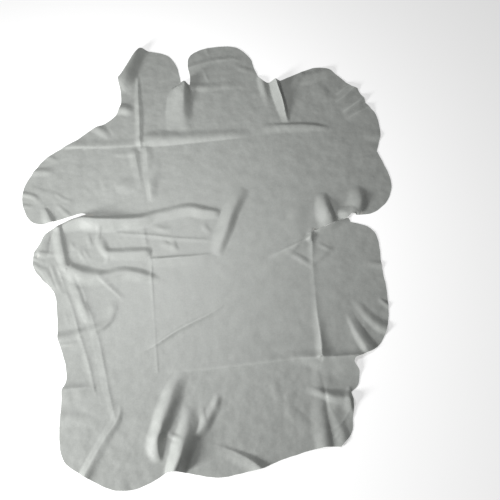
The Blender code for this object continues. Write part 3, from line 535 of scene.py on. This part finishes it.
# %% Pleats along the right edge
RIGHT_EDGE = [
    Fold("toggle pleat, far", "sharp", "sharp", [
        (870, 805, 0, 30, 30), (915, 830, 8, 30, 35), (1025, 910, 14, 30, 35)]),
    Fold("toggle pleat, middle", "sharp", "sharp", [
        (900, 725, 0, 30, 25), (955, 755, 10, 30, 30), (1085, 835, 15, 35, 30)]),
    Fold("toggle pleat, near", "sharp", "sharp", [
        (915, 670, 0, 35, 30), (985, 705, 9, 35, 50), (1125, 765, 12, 35, 55)]),
    Fold("flank pleat, near", "soft", "full", [
        (805, -835, 14, 40, 65), (785, -795, 14, 40, 60), (765, -745, 13, 40, 50),
        (740, -680, 9, 35, 45), (720, -615, 4, 30, 35), (705, -555, 0, 25, 30)]),
    Fold("flank pleat, far", "soft", "soft", [
        (750, -500, 0, 35, 30), (785, -550, 4, 40, 35), (825, -615, 7, 45, 35),
        (870, -665, 11, 55, 40), (960, -715, 12, 60, 45)]),
    Fold("far edge pleat", "soft", "soft", [
        (640, 970, 0, 40, 35), (725, 985, 8, 50, 35), (820, 1015, 8, 50, 35),
        (905, 1045, 6, 40, 35)]),
    Fold("pleat at the right cheek", "soft", "soft", [
        (575, 925, 0, 40, 40), (620, 965, 7, 40, 40), (655, 1005, 7, 40, 40),
        (680, 1035, 5.5, 40, 40)]),
    Fold("pleat behind the right cheek", "soft", "soft", [
        (670, 1015, 0, 40, 40), (750, 1025, 7, 40, 40), (820, 1045, 9, 40, 40),
        (875, 1065, 9, 40, 40)]),
    Fold("bow on the right cheek", "soft", "soft", [
        (815, 810, 0, 65, 40), (805, 885, 3.5, 90, 45), (775, 935, 2, 80, 50),
        (725, 955, 0, 60, 45)]),
    Fold("toggle pleat, farthest", "sharp", "sharp", [
        (880, 855, 0, 20, 35), (945, 900, 8, 20, 35), (995, 930, 10.5, 35, 35)]),
    Fold("small toggle pleat", "soft", "soft", [
        (975, 765, 0, 20, 25), (1040, 795, 5.5, 20, 25), (1090, 815, 7, 20, 25)]),
    Fold("cheek wave on the toggle edge", "soft", "soft", [
        (1000, 545, 0, 60, 50), (1060, 530, 5, 60, 50), (1145, 520, 6.5, 60, 50)]),
    Fold("ripple on the fore leg", "soft", "soft", [
        (950, 385, 0, 20, 30), (1005, 390, 2.5, 20, 30), (1050, 400, 0, 20, 30)]),
    Fold("flank pleat, small far", "soft", "soft", [
        (845, -290, 0, 30, 35), (905, -300, 4, 30, 35), (965, -315, 7, 30, 35)]),
    Fold("flank pleat, small near", "soft", "soft", [
        (895, -505, 0, 15, 25), (925, -535, 5, 15, 25), (965, -575, 5, 25, 25)]),
    Fold("curled rim of the hind leg", "soft", "soft", [
        (640, -1110, 3, 35, 15), (635, -1070, 7, 45, 15), (635, -1030, 7, 35, 15),
        (645, -990, 3, 30, 15)]),
    Fold("roll on the hind leg", "soft", "soft", [
        (535, -1065, 0, 40, 50), (575, -1050, 6.5, 45, 50), (620, -1055, 8, 45, 50),
        (660, -1065, 8, 45, 50)]),
]
print(len(RIGHT_EDGE), "pleats along the right edge")
FOLDS = CREASES + CHEEKS + FORE_LEG + LEFT_FLANK + RIGHT_SLIT_FOLDS + TAIL + RIGHT_EDGE
print(len(FOLDS), "folds in all")

# %% [markdown]
# ## How high each fold lifts the leather
#
# For a point of the plan, the nearest place on the fold's run is found, the fold's rise and reach
# are read there, and the distance as a share of the reach gives the height by the side's shape. All
# points inside the fold's box are worked out at once, one short piece of the run after another.

# %% How high each fold lifts the leather
RUN_STEP = 14 * MM          # a run is followed in pieces of this length
LEAST_REACH = 10 * MM       # no side of a fold is narrower than this
CREST_SHARE = 0.25          # a sharp crest is seen out to this share of the reach
FULL_CREST = 6 * MM         # from this rise on, a sharp crest is as pale as it gets
BEYOND_FOOT = 1.05          # a fold's fine points go on to this share of the reach
SLOPES = {
    "soft": lambda t: 0.5 + 0.5 * np.cos(np.pi * t),
    "full": lambda t: np.cos(0.5 * np.pi * t),
    "sharp": lambda t: 1.0 - t,
    "pinch": lambda t: (1.0 - t) ** 2,
}


def fold_run(fold, step=RUN_STEP):
    """The fold's run in metres as rows (x, y, rise, left, right), with no rise below the floor."""
    run = smooth_run(np.array(fold.run, float) * MM, step)
    run[:, 2] = np.maximum(run[:, 2], 0.0)
    run[:, 3:] = np.maximum(run[:, 3:], LEAST_REACH)
    return run


def across_fold(fold, xy):
    """(points in the fold's box, rise, share, on_left) for the points near a fold.

    share is the distance to the nearest piece of the run over the reach of that side: 0 on the
    crest, 1 at the foot. The side is the sign of the cross product of the piece and the offset."""
    run = fold_run(fold)
    far = run[:, 3:].max()
    box = ((xy > run[:, :2].min(0) - far) & (xy < run[:, :2].max(0) + far)).all(1)
    p = xy[box]
    near = np.full(len(p), np.inf)
    rise, left, right, side = np.zeros(len(p)), np.ones(len(p)), np.ones(len(p)), np.zeros(len(p))
    for a, b in zip(run[:-1], run[1:]):
        along = b[:2] - a[:2]
        part = np.clip((p - a[:2]) @ along / (along @ along), 0.0, 1.0)
        off = p - a[:2] - part[:, None] * along
        away = np.hypot(off[:, 0], off[:, 1])
        new = away < near
        near[new] = away[new]
        rise[new], left[new], right[new] = (a[2:] + (b[2:] - a[2:]) * part[new, None]).T
        side[new] = (along[0] * off[:, 1] - along[1] * off[:, 0])[new]
    on_left = side >= 0.0
    share = near / np.where(on_left, left, right)
    if fold.slit:
        (ax, ay), (bx, by) = np.array(fold.slit) * MM
        beyond = ((bx - ax) * (p[:, 1] - ay) - (by - ay) * (p[:, 0] - ax)) * fold.side <= 0.0
        share[beyond] = np.inf
    return box, rise, share, on_left


def fold_heights(xy):
    """(height, touched, crease) at each point: the sum of all folds, whether any fold reaches the
    point, and how near it is to a sharp crest. On a crest of FULL_CREST or more crease is 1, on a
    lower one less in proportion, and it falls to 0 at CREST_SHARE of the reach."""
    height, crease = np.zeros(len(xy)), np.zeros(len(xy))
    touched = np.zeros(len(xy), bool)
    for fold in FOLDS:
        box, rise, share, on_left = across_fold(fold, xy)
        t = np.minimum(share, 1.0)
        height[box] += rise * np.where(on_left, SLOPES[fold.left](t), SLOPES[fold.right](t))
        touched[box] |= share < BEYOND_FOOT
        if {fold.left, fold.right} & {"sharp", "pinch"}:
            line = np.clip(1.0 - share / CREST_SHARE, 0.0, 1.0) * np.minimum(rise / FULL_CREST, 1.0)
            crease[box] = np.maximum(crease[box], line)
    return height, touched, crease


# %% [markdown]
# ## The slack between the folds
#
# Leather that lies flat is never quite flat: it keeps swells about a millimetre high, from a few
# centimetres to a few decimetres wide, which show under low light. They are a sum of waves. Each wave
# is turned from the last by the golden angle, so that no direction or spacing repeats, and short
# waves are lower than long ones in proportion. The lowest point of the swells rests on the floor.

# %% The slack between the folds
WAVES = 30
LONGEST, SHORTEST = 420 * MM, 48 * MM
SWELL = 0.0021              # how high the swells are for their length
GOLDEN = math.pi * (3.0 - math.sqrt(5.0))


def swells(xy):
    """Sum over k of SWELL * length_k * sin(2 pi (x cos a_k + y sin a_k) / length_k + 2.4 k * k),
    over the root of WAVES, where a_k is k golden angles and the lengths fall evenly by ratio from
    LONGEST to SHORTEST."""
    k = np.arange(WAVES)
    length = LONGEST * (SHORTEST / LONGEST) ** (k / (WAVES - 1))
    angle = GOLDEN * k
    way = np.stack([np.cos(angle), np.sin(angle)]) / length
    wave = np.sin(2 * np.pi * (xy @ way) + 2.4 * k * k)
    return (wave * SWELL * length / math.sqrt(WAVES)).sum(axis=1)


# %% [markdown]
# ## Points on the hide
#
# The sheet needs small triangles in the folds and can do with larger ones where it is flat. Points
# are laid in a honeycomb of rows. Every point is kept inside the folds, and every second point of
# every second row elsewhere, which is a wider honeycomb. Sharp crests and sharp feet get rows of
# their own points, so that a triangle never bridges a crease, and the cut edge gets close points of
# its own.

# %% Points on the hide
EDGE_STEP = 7 * MM
WOBBLE = 1.2 * MM           # how far the knife wandered
WANDERS = (61, 97, 160)     # lengths of the knife's waves, in millimetres
LOW_CREST = 0.6 * MM        # a fold gets no rows of points where its crest is lower than this
STEEP_FOOT = 0.08           # a foot gets a row where the crest rises by more than this over its reach
ROW_HEIGHT = math.sqrt(0.75)            # from row to row of the honeycomb, in steps
EDGE_ROOM, CREASE_ROOM = 0.62, 0.55     # what it leaves free beside edge and crease rows, in steps


def cut_edge():
    """The whole cut edge, closed: each stretch curved, the knife's small wander added outwards.

    The wander is WOBBLE times the mean of three sines of the way round, of the lengths in WANDERS,
    and 0 at the corners."""
    parts = [smooth_run(np.array(places, float) * MM, EDGE_STEP)[:-1] for _, places in OUTLINE]
    loop = np.vstack(parts)
    corners = np.cumsum([0] + [len(part) for part in parts])[:-1]
    way = np.linalg.norm(np.roll(loop, -1, axis=0) - loop, axis=1)
    far = np.concatenate([[0.0], np.cumsum(way)[:-1]])
    ahead = np.roll(loop, -1, axis=0) - np.roll(loop, 1, axis=0)
    out = np.column_stack([-ahead[:, 1], ahead[:, 0]]) / np.linalg.norm(ahead, axis=1)[:, None]
    wander = sum(np.sin(2 * np.pi * far / (gap * MM) + gap) for gap in WANDERS) / len(WANDERS)
    wander[corners] = 0.0
    return loop + out * (WOBBLE * wander)[:, None]


def area_of(loop):
    """Half the sum of the cross products of neighbouring points."""
    after = np.roll(loop, -1, axis=0)
    return abs((loop[:, 0] * after[:, 1] - after[:, 0] * loop[:, 1]).sum() / 2)


def in_loop(xy, loop):
    """Which points lie inside a closed loop: an odd number of its edges lies to their right."""
    odd = np.zeros(len(xy), bool)
    for (ax, ay), (bx, by) in zip(loop, np.roll(loop, -1, axis=0)):
        spans = np.nonzero((ay > xy[:, 1]) != (by > xy[:, 1]))[0]
        odd[spans] ^= xy[spans, 0] < ax + (xy[spans, 1] - ay) / (by - ay) * (bx - ax)
    return odd


def crease_rows(step, loop):
    """Rows of points along sharp crests and sharp feet, in pieces that stay inside the edge.

    A foot row lies its side's reach away from the crest, at right angles to the run."""
    rows = []
    for fold in FOLDS:
        run = fold_run(fold, step)
        way = np.gradient(run[:, :2], axis=0)
        way /= np.linalg.norm(way, axis=1)[:, None]
        out = np.column_stack([-way[:, 1], way[:, 0]])
        strong = run[:, 2] > LOW_CREST
        if {fold.left, fold.right} & {"sharp", "pinch"}:
            rows.append((run[:, :2], strong))
        for kind, reach, sign in ((fold.left, run[:, 3], 1.0), (fold.right, run[:, 4], -1.0)):
            if kind in ("sharp", "full"):
                steep = run[:, 2] / reach > STEEP_FOOT
                rows.append((run[:, :2] + out * (sign * reach)[:, None], strong & steep))
    pieces = []
    for line, wanted in rows:
        clear = np.abs(line[:, None] - loop[None]).sum(axis=2).min(axis=1) > step
        good = wanted & clear & in_loop(line, loop)
        cuts = np.nonzero(np.diff(good.astype(int)))[0] + 1
        pieces += [p for p, g in zip(np.split(line, cuts), np.split(good, cuts))
                   if g[0] and len(p) > 1]
    return pieces


def honeycomb(step, loop, rows):
    """Points of the honeycomb in the sheet: all in folds, a quarter of them elsewhere, none too
    close to the cut edge or to a crease row."""
    low = loop.min(axis=0) - step
    count = np.ceil((loop.max(axis=0) + step - low) / (step, step * ROW_HEIGHT)).astype(int)
    j, i = np.mgrid[0:count[1], 0:count[0]]
    x, y = low[0] + (i + 0.5 * (j % 2)) * step, low[1] + j * step * ROW_HEIGHT
    xy = np.column_stack([x.ravel(), y.ravel()])
    wide = (j % 2 == 0) & (i % 2 == (j // 2) % 2)
    keep = (wide.ravel() | fold_heights(xy)[1]).reshape(j.shape)
    for points, gap in ((loop, EDGE_ROOM * step), (np.vstack(rows), CREASE_ROOM * step)):
        row = np.rint((points[:, 1] - low[1]) / (step * ROW_HEIGHT)).astype(int)
        for dj in (-1, 0, 1):
            jj = np.clip(row + dj, 0, count[1] - 1)
            column = np.rint((points[:, 0] - low[0]) / step - 0.5 * (jj % 2)).astype(int)
            for di in (-1, 0, 1):
                ii = np.clip(column + di, 0, count[0] - 1)
                close = np.hypot(x[jj, ii] - points[:, 0], y[jj, ii] - points[:, 1]) < gap
                keep[jj[close], ii[close]] = False
    return xy[keep.ravel()]


EDGE = cut_edge()
print(f"cut edge {np.linalg.norm(np.roll(EDGE, -1, axis=0) - EDGE, axis=1).sum():.2f} m long, "
      f"{area_of(EDGE):.2f} square metres")

# %% [markdown]
# ## Triangles between the points
#
# Delaunay triangulation joins the points into the best-shaped triangles. The constrained kind keeps
# the cut edge and the crease rows as edges of triangles, and drops what lies outside the cut edge.

# %% Triangles between the points
INSIDE_ONLY = 1             # asks for the triangles inside the cut edge only
SAME_POINT = 0.2 * MM       # points closer than this become one
NO_AREA = 1e-12             # twice the area, in square metres, of a triangle as thin as a line


def plan_triangles(step):
    """(points, triangles) of the hide in plan, facing up."""
    rows = crease_rows(step, EDGE)
    inner = honeycomb(step, EDGE, rows)
    rim = np.arange(len(EDGE))
    links, start = [np.column_stack([rim, np.roll(rim, -1)])], len(EDGE)
    for row in rows:
        number = np.arange(start, start + len(row))
        links.append(np.column_stack([number[:-1], number[1:]]))
        start += len(row)
    points = np.vstack([EDGE] + rows + [inner])
    found = delaunay_2d_cdt([Vector(p) for p in points.tolist()],
                            np.vstack(links).tolist(), [], INSIDE_ONLY, SAME_POINT)
    xy = np.array([v[:] for v in found[0]])
    tris = np.array([f for f in found[2] if len(f) == 3])
    tris = tris[in_loop(xy[tris].mean(axis=1), EDGE)]
    used, tris = np.unique(tris, return_inverse=True)
    xy, tris = xy[used], tris.reshape(-1, 3)
    a, b, c = xy[tris[:, 0]], xy[tris[:, 1]], xy[tris[:, 2]]
    turn = (b[:, 0] - a[:, 0]) * (c[:, 1] - a[:, 1]) - (b[:, 1] - a[:, 1]) * (c[:, 0] - a[:, 0])
    tris = np.where((turn < 0)[:, None], tris[:, ::-1], tris)
    return xy, tris[np.abs(turn) > NO_AREA]


# %% [markdown]
# ## The two skins of the sheet
#
# Leather has two skins: the smooth grain side on top and the fibrous flesh side underneath, with the
# raw cut edge between. Both skins are the same folded surface, half the leather's thickness above
# and below its middle. The flesh side is hardly seen, so its triangles are twice as long. Both share
# every point of the cut edge, so the edge closes the sheet with one band of narrow faces.

# %% The two skins of the sheet
SUBSTANCE = 1.4 * MM
GRAIN_STEP, FLESH_STEP = 6.6 * MM, 13.2 * MM
HALF_BOARD, BOARD_STEP = (1.12, 1.36), 0.01     # a board under the whole hide, in metres
BOARD = np.meshgrid(*[np.arange(-half, half, BOARD_STEP) for half in HALF_BOARD])
LOWEST_SWELL = swells(np.stack(BOARD, -1).reshape(-1, 2)).min()


def skin(step, side):
    """(plan, places, triangles, crease) of one skin: folds plus swells plus half the substance, then
    half the substance along the surface's own direction, up for side 1 and down for side -1."""
    xy, tris = plan_triangles(step)
    height, _, crease = fold_heights(xy)
    middle = np.column_stack([xy, height + swells(xy) - LOWEST_SWELL + 0.5 * SUBSTANCE])
    a, b, c = middle[tris[:, 0]], middle[tris[:, 1]], middle[tris[:, 2]]
    face = np.cross(b - a, c - a)
    out = np.column_stack([np.bincount(tris.ravel(), np.repeat(face[:, k], 3), len(xy))
                           for k in range(3)])
    out /= np.linalg.norm(out, axis=1)[:, None]
    places = middle + 0.5 * SUBSTANCE * side * out
    places[:, 2] = np.maximum(places[:, 2], 0.0)
    return xy, places, tris, crease


grain_plan, grain, grain_tris, grain_crease = skin(GRAIN_STEP, 1.0)
flesh_plan, flesh, flesh_tris, flesh_crease = skin(FLESH_STEP, -1.0)
print(f"grain side {len(grain_tris)} triangles, flesh side {len(flesh_tris)}, "
      f"highest point {grain[:, 2].max() * 1000:.1f} mm")

# %% [markdown]
# ## The sheet as one closed mesh
#
# The points of the cut edge are matched between the two skins by their order in plan, and a band of
# triangles closes the sheet. Each skin and the band get a material slot of their own. Shading is
# smooth over the folds and hard at the cut. Two values are kept for the finish: how close a point is
# to a sharp crest, and how close it is to the cut edge.

# %% The sheet as one closed mesh
MARGIN = 30 * MM            # the finish changes over this width along the cut edge
BATCHES = 50                # the points are measured in so many parts, to save memory
CUT_ANGLE = math.radians(65.0)          # faces that turn by more than this are shaded apart


def rim_of(tris):
    """Edges used by one triangle only, as (from, to) in the triangle's own order."""
    sides = np.vstack([tris[:, [0, 1]], tris[:, [1, 2]], tris[:, [2, 0]]])
    key = sides.min(axis=1) * (tris.max() + 1) + sides.max(axis=1)
    _, first, uses = np.unique(key, return_index=True, return_counts=True)
    return sides[first[uses == 1]]


def cut_band():
    """Triangles of the cut: each edge of the grain side's rim is joined to the same edge of the flesh
    side by two. Sorting both rims by y, then by x, pairs up their points."""
    rim = rim_of(grain_tris)
    top, under = np.unique(rim), np.unique(rim_of(flesh_tris))
    top = top[np.lexsort(grain_plan[top].T)]
    under = under[np.lexsort(flesh_plan[under].T)]
    pair = np.zeros(len(grain), int)
    pair[top] = under + len(grain)
    a, b = rim.T
    return np.vstack([np.column_stack([b, a, pair[a]]), np.column_stack([b, pair[a], pair[b]])])


def near_edge(xy):
    """1 on the cut edge, falling evenly to 0 at MARGIN from it, one batch of points at a time."""
    gaps = [np.sqrt(((part[:, None] - EDGE[None]) ** 2).sum(axis=2).min(axis=1))
            for part in np.array_split(xy, BATCHES)]
    return np.clip(1.0 - np.concatenate(gaps) / MARGIN, 0.0, 1.0)


band = cut_band()
places = np.vstack([grain, flesh])
faces = np.vstack([grain_tris, flesh_tris[:, ::-1] + len(grain), band])
slots = np.repeat([0, 1, 2], [len(grain_tris), len(flesh_tris), len(band)])

mesh = bpy.data.meshes.new("leather_sheet")
mesh.from_pydata(places, [], faces)
mesh.polygons.foreach_set("material_index", slots.astype(np.int32))
mesh.polygons.foreach_set("use_smooth", np.ones(len(faces), bool))
mesh.attributes.new("crease", "FLOAT", "POINT").data.foreach_set(
    "value", np.concatenate([grain_crease, flesh_crease]).astype(np.float32))
mesh.attributes.new("margin", "FLOAT", "POINT").data.foreach_set(
    "value", near_edge(np.vstack([grain_plan, flesh_plan])).astype(np.float32))
mesh.update()
mesh.set_sharp_from_angle(angle=CUT_ANGLE)
sheet = bpy.data.objects.new("leather_sheet", mesh)
bpy.context.scene.collection.objects.link(sheet)
print(f"{len(faces)} triangles, {len(band)} of them round the cut edge")

# %% [markdown]
# ## Helpers for finishes
#
# A finish is a network of small nodes that each work out one value at each point. These helpers make
# a node with its inputs in one line, so that a finish can be read from top to bottom.

# %% Helpers for finishes
def new_finish(name):
    """A material with only an output and a Principled shader, its node tree and that shader."""
    finish = bpy.data.materials.new(name)
    finish.use_nodes = True
    return finish, finish.node_tree, finish.node_tree.nodes["Principled BSDF"]


def add(tree, kind, inputs, **settings):
    """A new node with its settings; each input is a constant or another node's output."""
    node = tree.nodes.new(kind)
    for name, value in settings.items():
        setattr(node, name, value)
    for name, value in inputs.items():
        if isinstance(value, bpy.types.NodeSocket):
            tree.links.new(value, node.inputs[name])
        else:
            node.inputs[name].default_value = value
    return node


def noise(tree, place, scale, detail, roughness=0.5):
    """Cloudy noise about 0.5, scale times to the metre."""
    return add(tree, "ShaderNodeTexNoise", {"Vector": place, "Scale": scale, "Detail": detail,
                                            "Roughness": roughness}).outputs["Fac"]


def blend(tree, amounts, start=0.0):
    """start plus the sum of (output, weight) pairs, as one output."""
    total = start
    for output, weight in amounts:
        total = add(tree, "ShaderNodeMath", {0: output, 1: weight, 2: total},
                    operation="MULTIPLY_ADD").outputs["Value"]
    return total


FACTOR, FIRST, SECOND, RESULT = 0, 6, 7, 2      # a mix node's sockets for colours


def tinted(tree, tone, colour, darker, paler):
    """The colour, darker times as bright where tone is 0 and paler times where tone is 1."""
    ends = [tuple(v * share for v in colour) + (1.0,) for share in (darker, paler)]
    return add(tree, "ShaderNodeMix", {FACTOR: tone, FIRST: ends[0], SECOND: ends[1]},
               data_type="RGBA").outputs[RESULT]


# %% [markdown]
# ## The grain side
#
# The finished side of this leather is a pale, slightly green grey with a soft sheen. Up close it is
# pebbled with cells of about two millimetres. From further off it shows a fine speckle, cloudy patches
# where the finish took unevenly, and paler lines along the sharp crests. Slack leather also
# keeps soft crinkles a few centimetres wide, which fade towards the stretched middle. All of these
# are procedural and read the sheet's own place, so they stay with it from every side.

# %% The grain side
GREY = (0.370, 0.3835, 0.366)
DARKER, PALER = 0.78, 1.22  # brightness at the two ends of the tone
STRETCHED = (0.15, -0.15, 0.0)   # the middle, which lies the smoothest

grain_finish, tree, shader = new_finish("grain_leather")
place = add(tree, "ShaderNodeTexCoord", {}).outputs["Object"]
crease = add(tree, "ShaderNodeAttribute", {}, attribute_name="crease").outputs["Fac"]
margin = add(tree, "ShaderNodeAttribute", {}, attribute_name="margin").outputs["Fac"]
clouds = noise(tree, place, 4.5, 3.0)
patches = noise(tree, place, 14.0, 2.0)
speckle = noise(tree, place, 160.0, 2.0, 0.6)
pebbles = add(tree, "ShaderNodeTexVoronoi", {"Vector": place, "Scale": 520.0, "Smoothness": 0.6},
              feature="SMOOTH_F1").outputs["Distance"]
tone = blend(tree, [(clouds, 0.26), (patches, 0.60), (speckle, 0.60), (crease, 0.30),
                    (margin, 0.03)], start=-0.23)
tree.links.new(tinted(tree, tone, GREY, DARKER, PALER), shader.inputs["Base Color"])
rough = blend(tree, [(patches, 0.18), (pebbles, 0.10), (crease, -0.05)], start=0.36)
tree.links.new(rough, shader.inputs["Roughness"])
# The crinkles are a quarter as high up to 0.30 m from the middle, and full from 0.95 m on.
from_middle = add(tree, "ShaderNodeVectorMath", {0: place, 1: STRETCHED}, operation="DISTANCE")
slack = add(tree, "ShaderNodeMapRange", {"Value": from_middle.outputs["Value"], "From Min": 0.30,
                                         "From Max": 0.95, "To Min": 0.25, "To Max": 1.0})
crinkles = add(tree, "ShaderNodeMath", {0: noise(tree, place, 17.0, 1.5, 0.35),
                                        1: slack.outputs["Result"]}, operation="MULTIPLY")
crinkle_bump = add(tree, "ShaderNodeBump", {"Height": crinkles.outputs["Value"],
                                            "Strength": 0.6, "Distance": 6.5 * MM})
grain_bump = add(tree, "ShaderNodeBump", {"Height": pebbles, "Strength": 0.5, "Distance": 0.4 * MM,
                                          "Normal": crinkle_bump.outputs["Normal"]})
tree.links.new(grain_bump.outputs["Normal"], shader.inputs["Normal"])
shader.inputs["Specular IOR Level"].default_value = 0.5
shader.inputs["Sheen Weight"].default_value = 0.04
shader.inputs["Sheen Roughness"].default_value = 0.5
print("grain side finished")

# %% [markdown]
# ## The flesh side and the cut edge
#
# Underneath, leather is a nap of short fibres, paler and with no gloss. The cut shows the same fibres
# end on. Both are rough, with fibre noise in colour and height, and a little sheen from the nap.

# %% The flesh side and the cut edge
FIBRE_SHAPE, FIBRE_TURN = (1.0, 3.0, 1.0), (0.0, 0.0, 0.6)   # drawn out three to one, and turned


def fibre_finish(name, colour, scale, sheen):
    """A matt nap: a fine noise stretched into short fibres, in tone and in height."""
    finish, tree, shader = new_finish(name)
    place = add(tree, "ShaderNodeTexCoord", {}).outputs["Object"]
    drawn = add(tree, "ShaderNodeMapping", {"Vector": place, "Scale": FIBRE_SHAPE,
                                            "Rotation": FIBRE_TURN}).outputs["Vector"]
    fibres = noise(tree, drawn, scale, 4.0, 0.65)
    tone = blend(tree, [(fibres, 0.7), (noise(tree, place, 9.0, 3.0), 0.3)])
    tree.links.new(tinted(tree, tone, colour, 0.75, 1.25), shader.inputs["Base Color"])
    bump = add(tree, "ShaderNodeBump", {"Height": fibres, "Strength": 0.6, "Distance": 0.6 * MM})
    tree.links.new(bump.outputs["Normal"], shader.inputs["Normal"])
    shader.inputs["Roughness"].default_value = 0.92
    shader.inputs["Sheen Weight"].default_value = sheen
    return finish


flesh_finish = fibre_finish("flesh_suede", (0.43, 0.43, 0.405), 240.0, 0.15)
cut_finish = fibre_finish("cut_fibres", (0.42, 0.425, 0.405), 600.0, 0.05)
for finish in (grain_finish, flesh_finish, cut_finish):
    sheet.data.materials.append(finish)
print("finishes:", [m.name for m in sheet.data.materials])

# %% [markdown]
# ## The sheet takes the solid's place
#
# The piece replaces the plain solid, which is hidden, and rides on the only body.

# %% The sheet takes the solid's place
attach(sheet, "root")
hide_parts("hide")

# %% [markdown]
# ## The floor
#
# The floor is plain and pale. It gives some light of its own, so that it stays pale at the right,
# where the lamps are far off.

# %% The floor
HALF_FLOOR = 30.0
FLOOR_DROP = 0.2 * MM       # keeps the floor and the underside of the hide apart
FLOOR_GLOW = 0.45
floor_mesh = bpy.data.meshes.new("floor")
corners = HALF_FLOOR * np.array([(-1, -1, 0), (1, -1, 0), (1, 1, 0), (-1, 1, 0)])
floor_mesh.from_pydata(corners - (0.0, 0.0, FLOOR_DROP), [], [(0, 1, 2, 3)])
floor = bpy.data.objects.new("floor", floor_mesh)
floor_finish, tree, shader = new_finish("pale_floor")
shader.inputs["Base Color"].default_value = (0.80, 0.80, 0.80, 1.0)
shader.inputs["Roughness"].default_value = 0.9
shader.inputs["Specular IOR Level"].default_value = 0.1
shader.inputs["Emission Color"].default_value = (1.0, 1.0, 1.0, 1.0)
shader.inputs["Emission Strength"].default_value = FLOOR_GLOW
floor_mesh.materials.append(floor_finish)
bpy.context.scene.collection.objects.link(floor)
print("floor", 2 * HALF_FLOOR, "m across")

# %% [markdown]
# ## The lamps and the surroundings
#
# A large soft lamp hangs over the left flank, so the hide is brightest there and falls off to the
# right. A second soft lamp stands low at the front left and rakes across the sheet: it is what makes
# shallow folds show. The surroundings add little light, so the far slopes of the folds stay dark. To
# the camera they are as bright as the far floor, so that the floor runs into them without a line.

# %% The lamps and the surroundings
Lamp = namedtuple("Lamp", "name place aim across watts")
LAMPS = [
    Lamp("soft_lamp_over_the_flank", (-0.53, 0.26, 2.05), (-0.18, 0.18, 0.0), 0.8, 28.0),
    Lamp("low_lamp_at_the_front_left", (-4.2, -2.4, 1.5), (0.0, 0.0, 0.0), 1.3, 369.0),
]
for lamp in LAMPS:
    light = bpy.data.lights.new(lamp.name, "AREA")
    light.shape, light.size, light.energy = "DISK", lamp.across, lamp.watts
    holder = bpy.data.objects.new(lamp.name, light)
    holder.location = lamp.place
    aim = Vector(lamp.aim) - Vector(lamp.place)
    holder.rotation_euler = aim.to_track_quat("-Z", "Y").to_euler()
    holder.visible_camera = False
    bpy.context.scene.collection.objects.link(holder)

SKY_LIGHT, SKY_SEEN = 0.10, 0.53        # strength as a light, and as the camera sees it
world = bpy.data.worlds.new("surroundings")
world.use_nodes = True
bpy.context.scene.world = world
sky = world.node_tree
seen = add(sky, "ShaderNodeLightPath", {}).outputs["Is Camera Ray"]
strength = add(sky, "ShaderNodeMapRange", {"Value": seen, "To Min": SKY_LIGHT, "To Max": SKY_SEEN})
sky.links.new(strength.outputs["Result"], sky.nodes["Background"].inputs["Strength"])
sky.nodes["Background"].inputs["Color"].default_value = (1.0, 1.0, 1.0, 1.0)
bpy.context.scene.view_settings.view_transform = "Standard"
print("lamps:", [lamp.name for lamp in LAMPS])
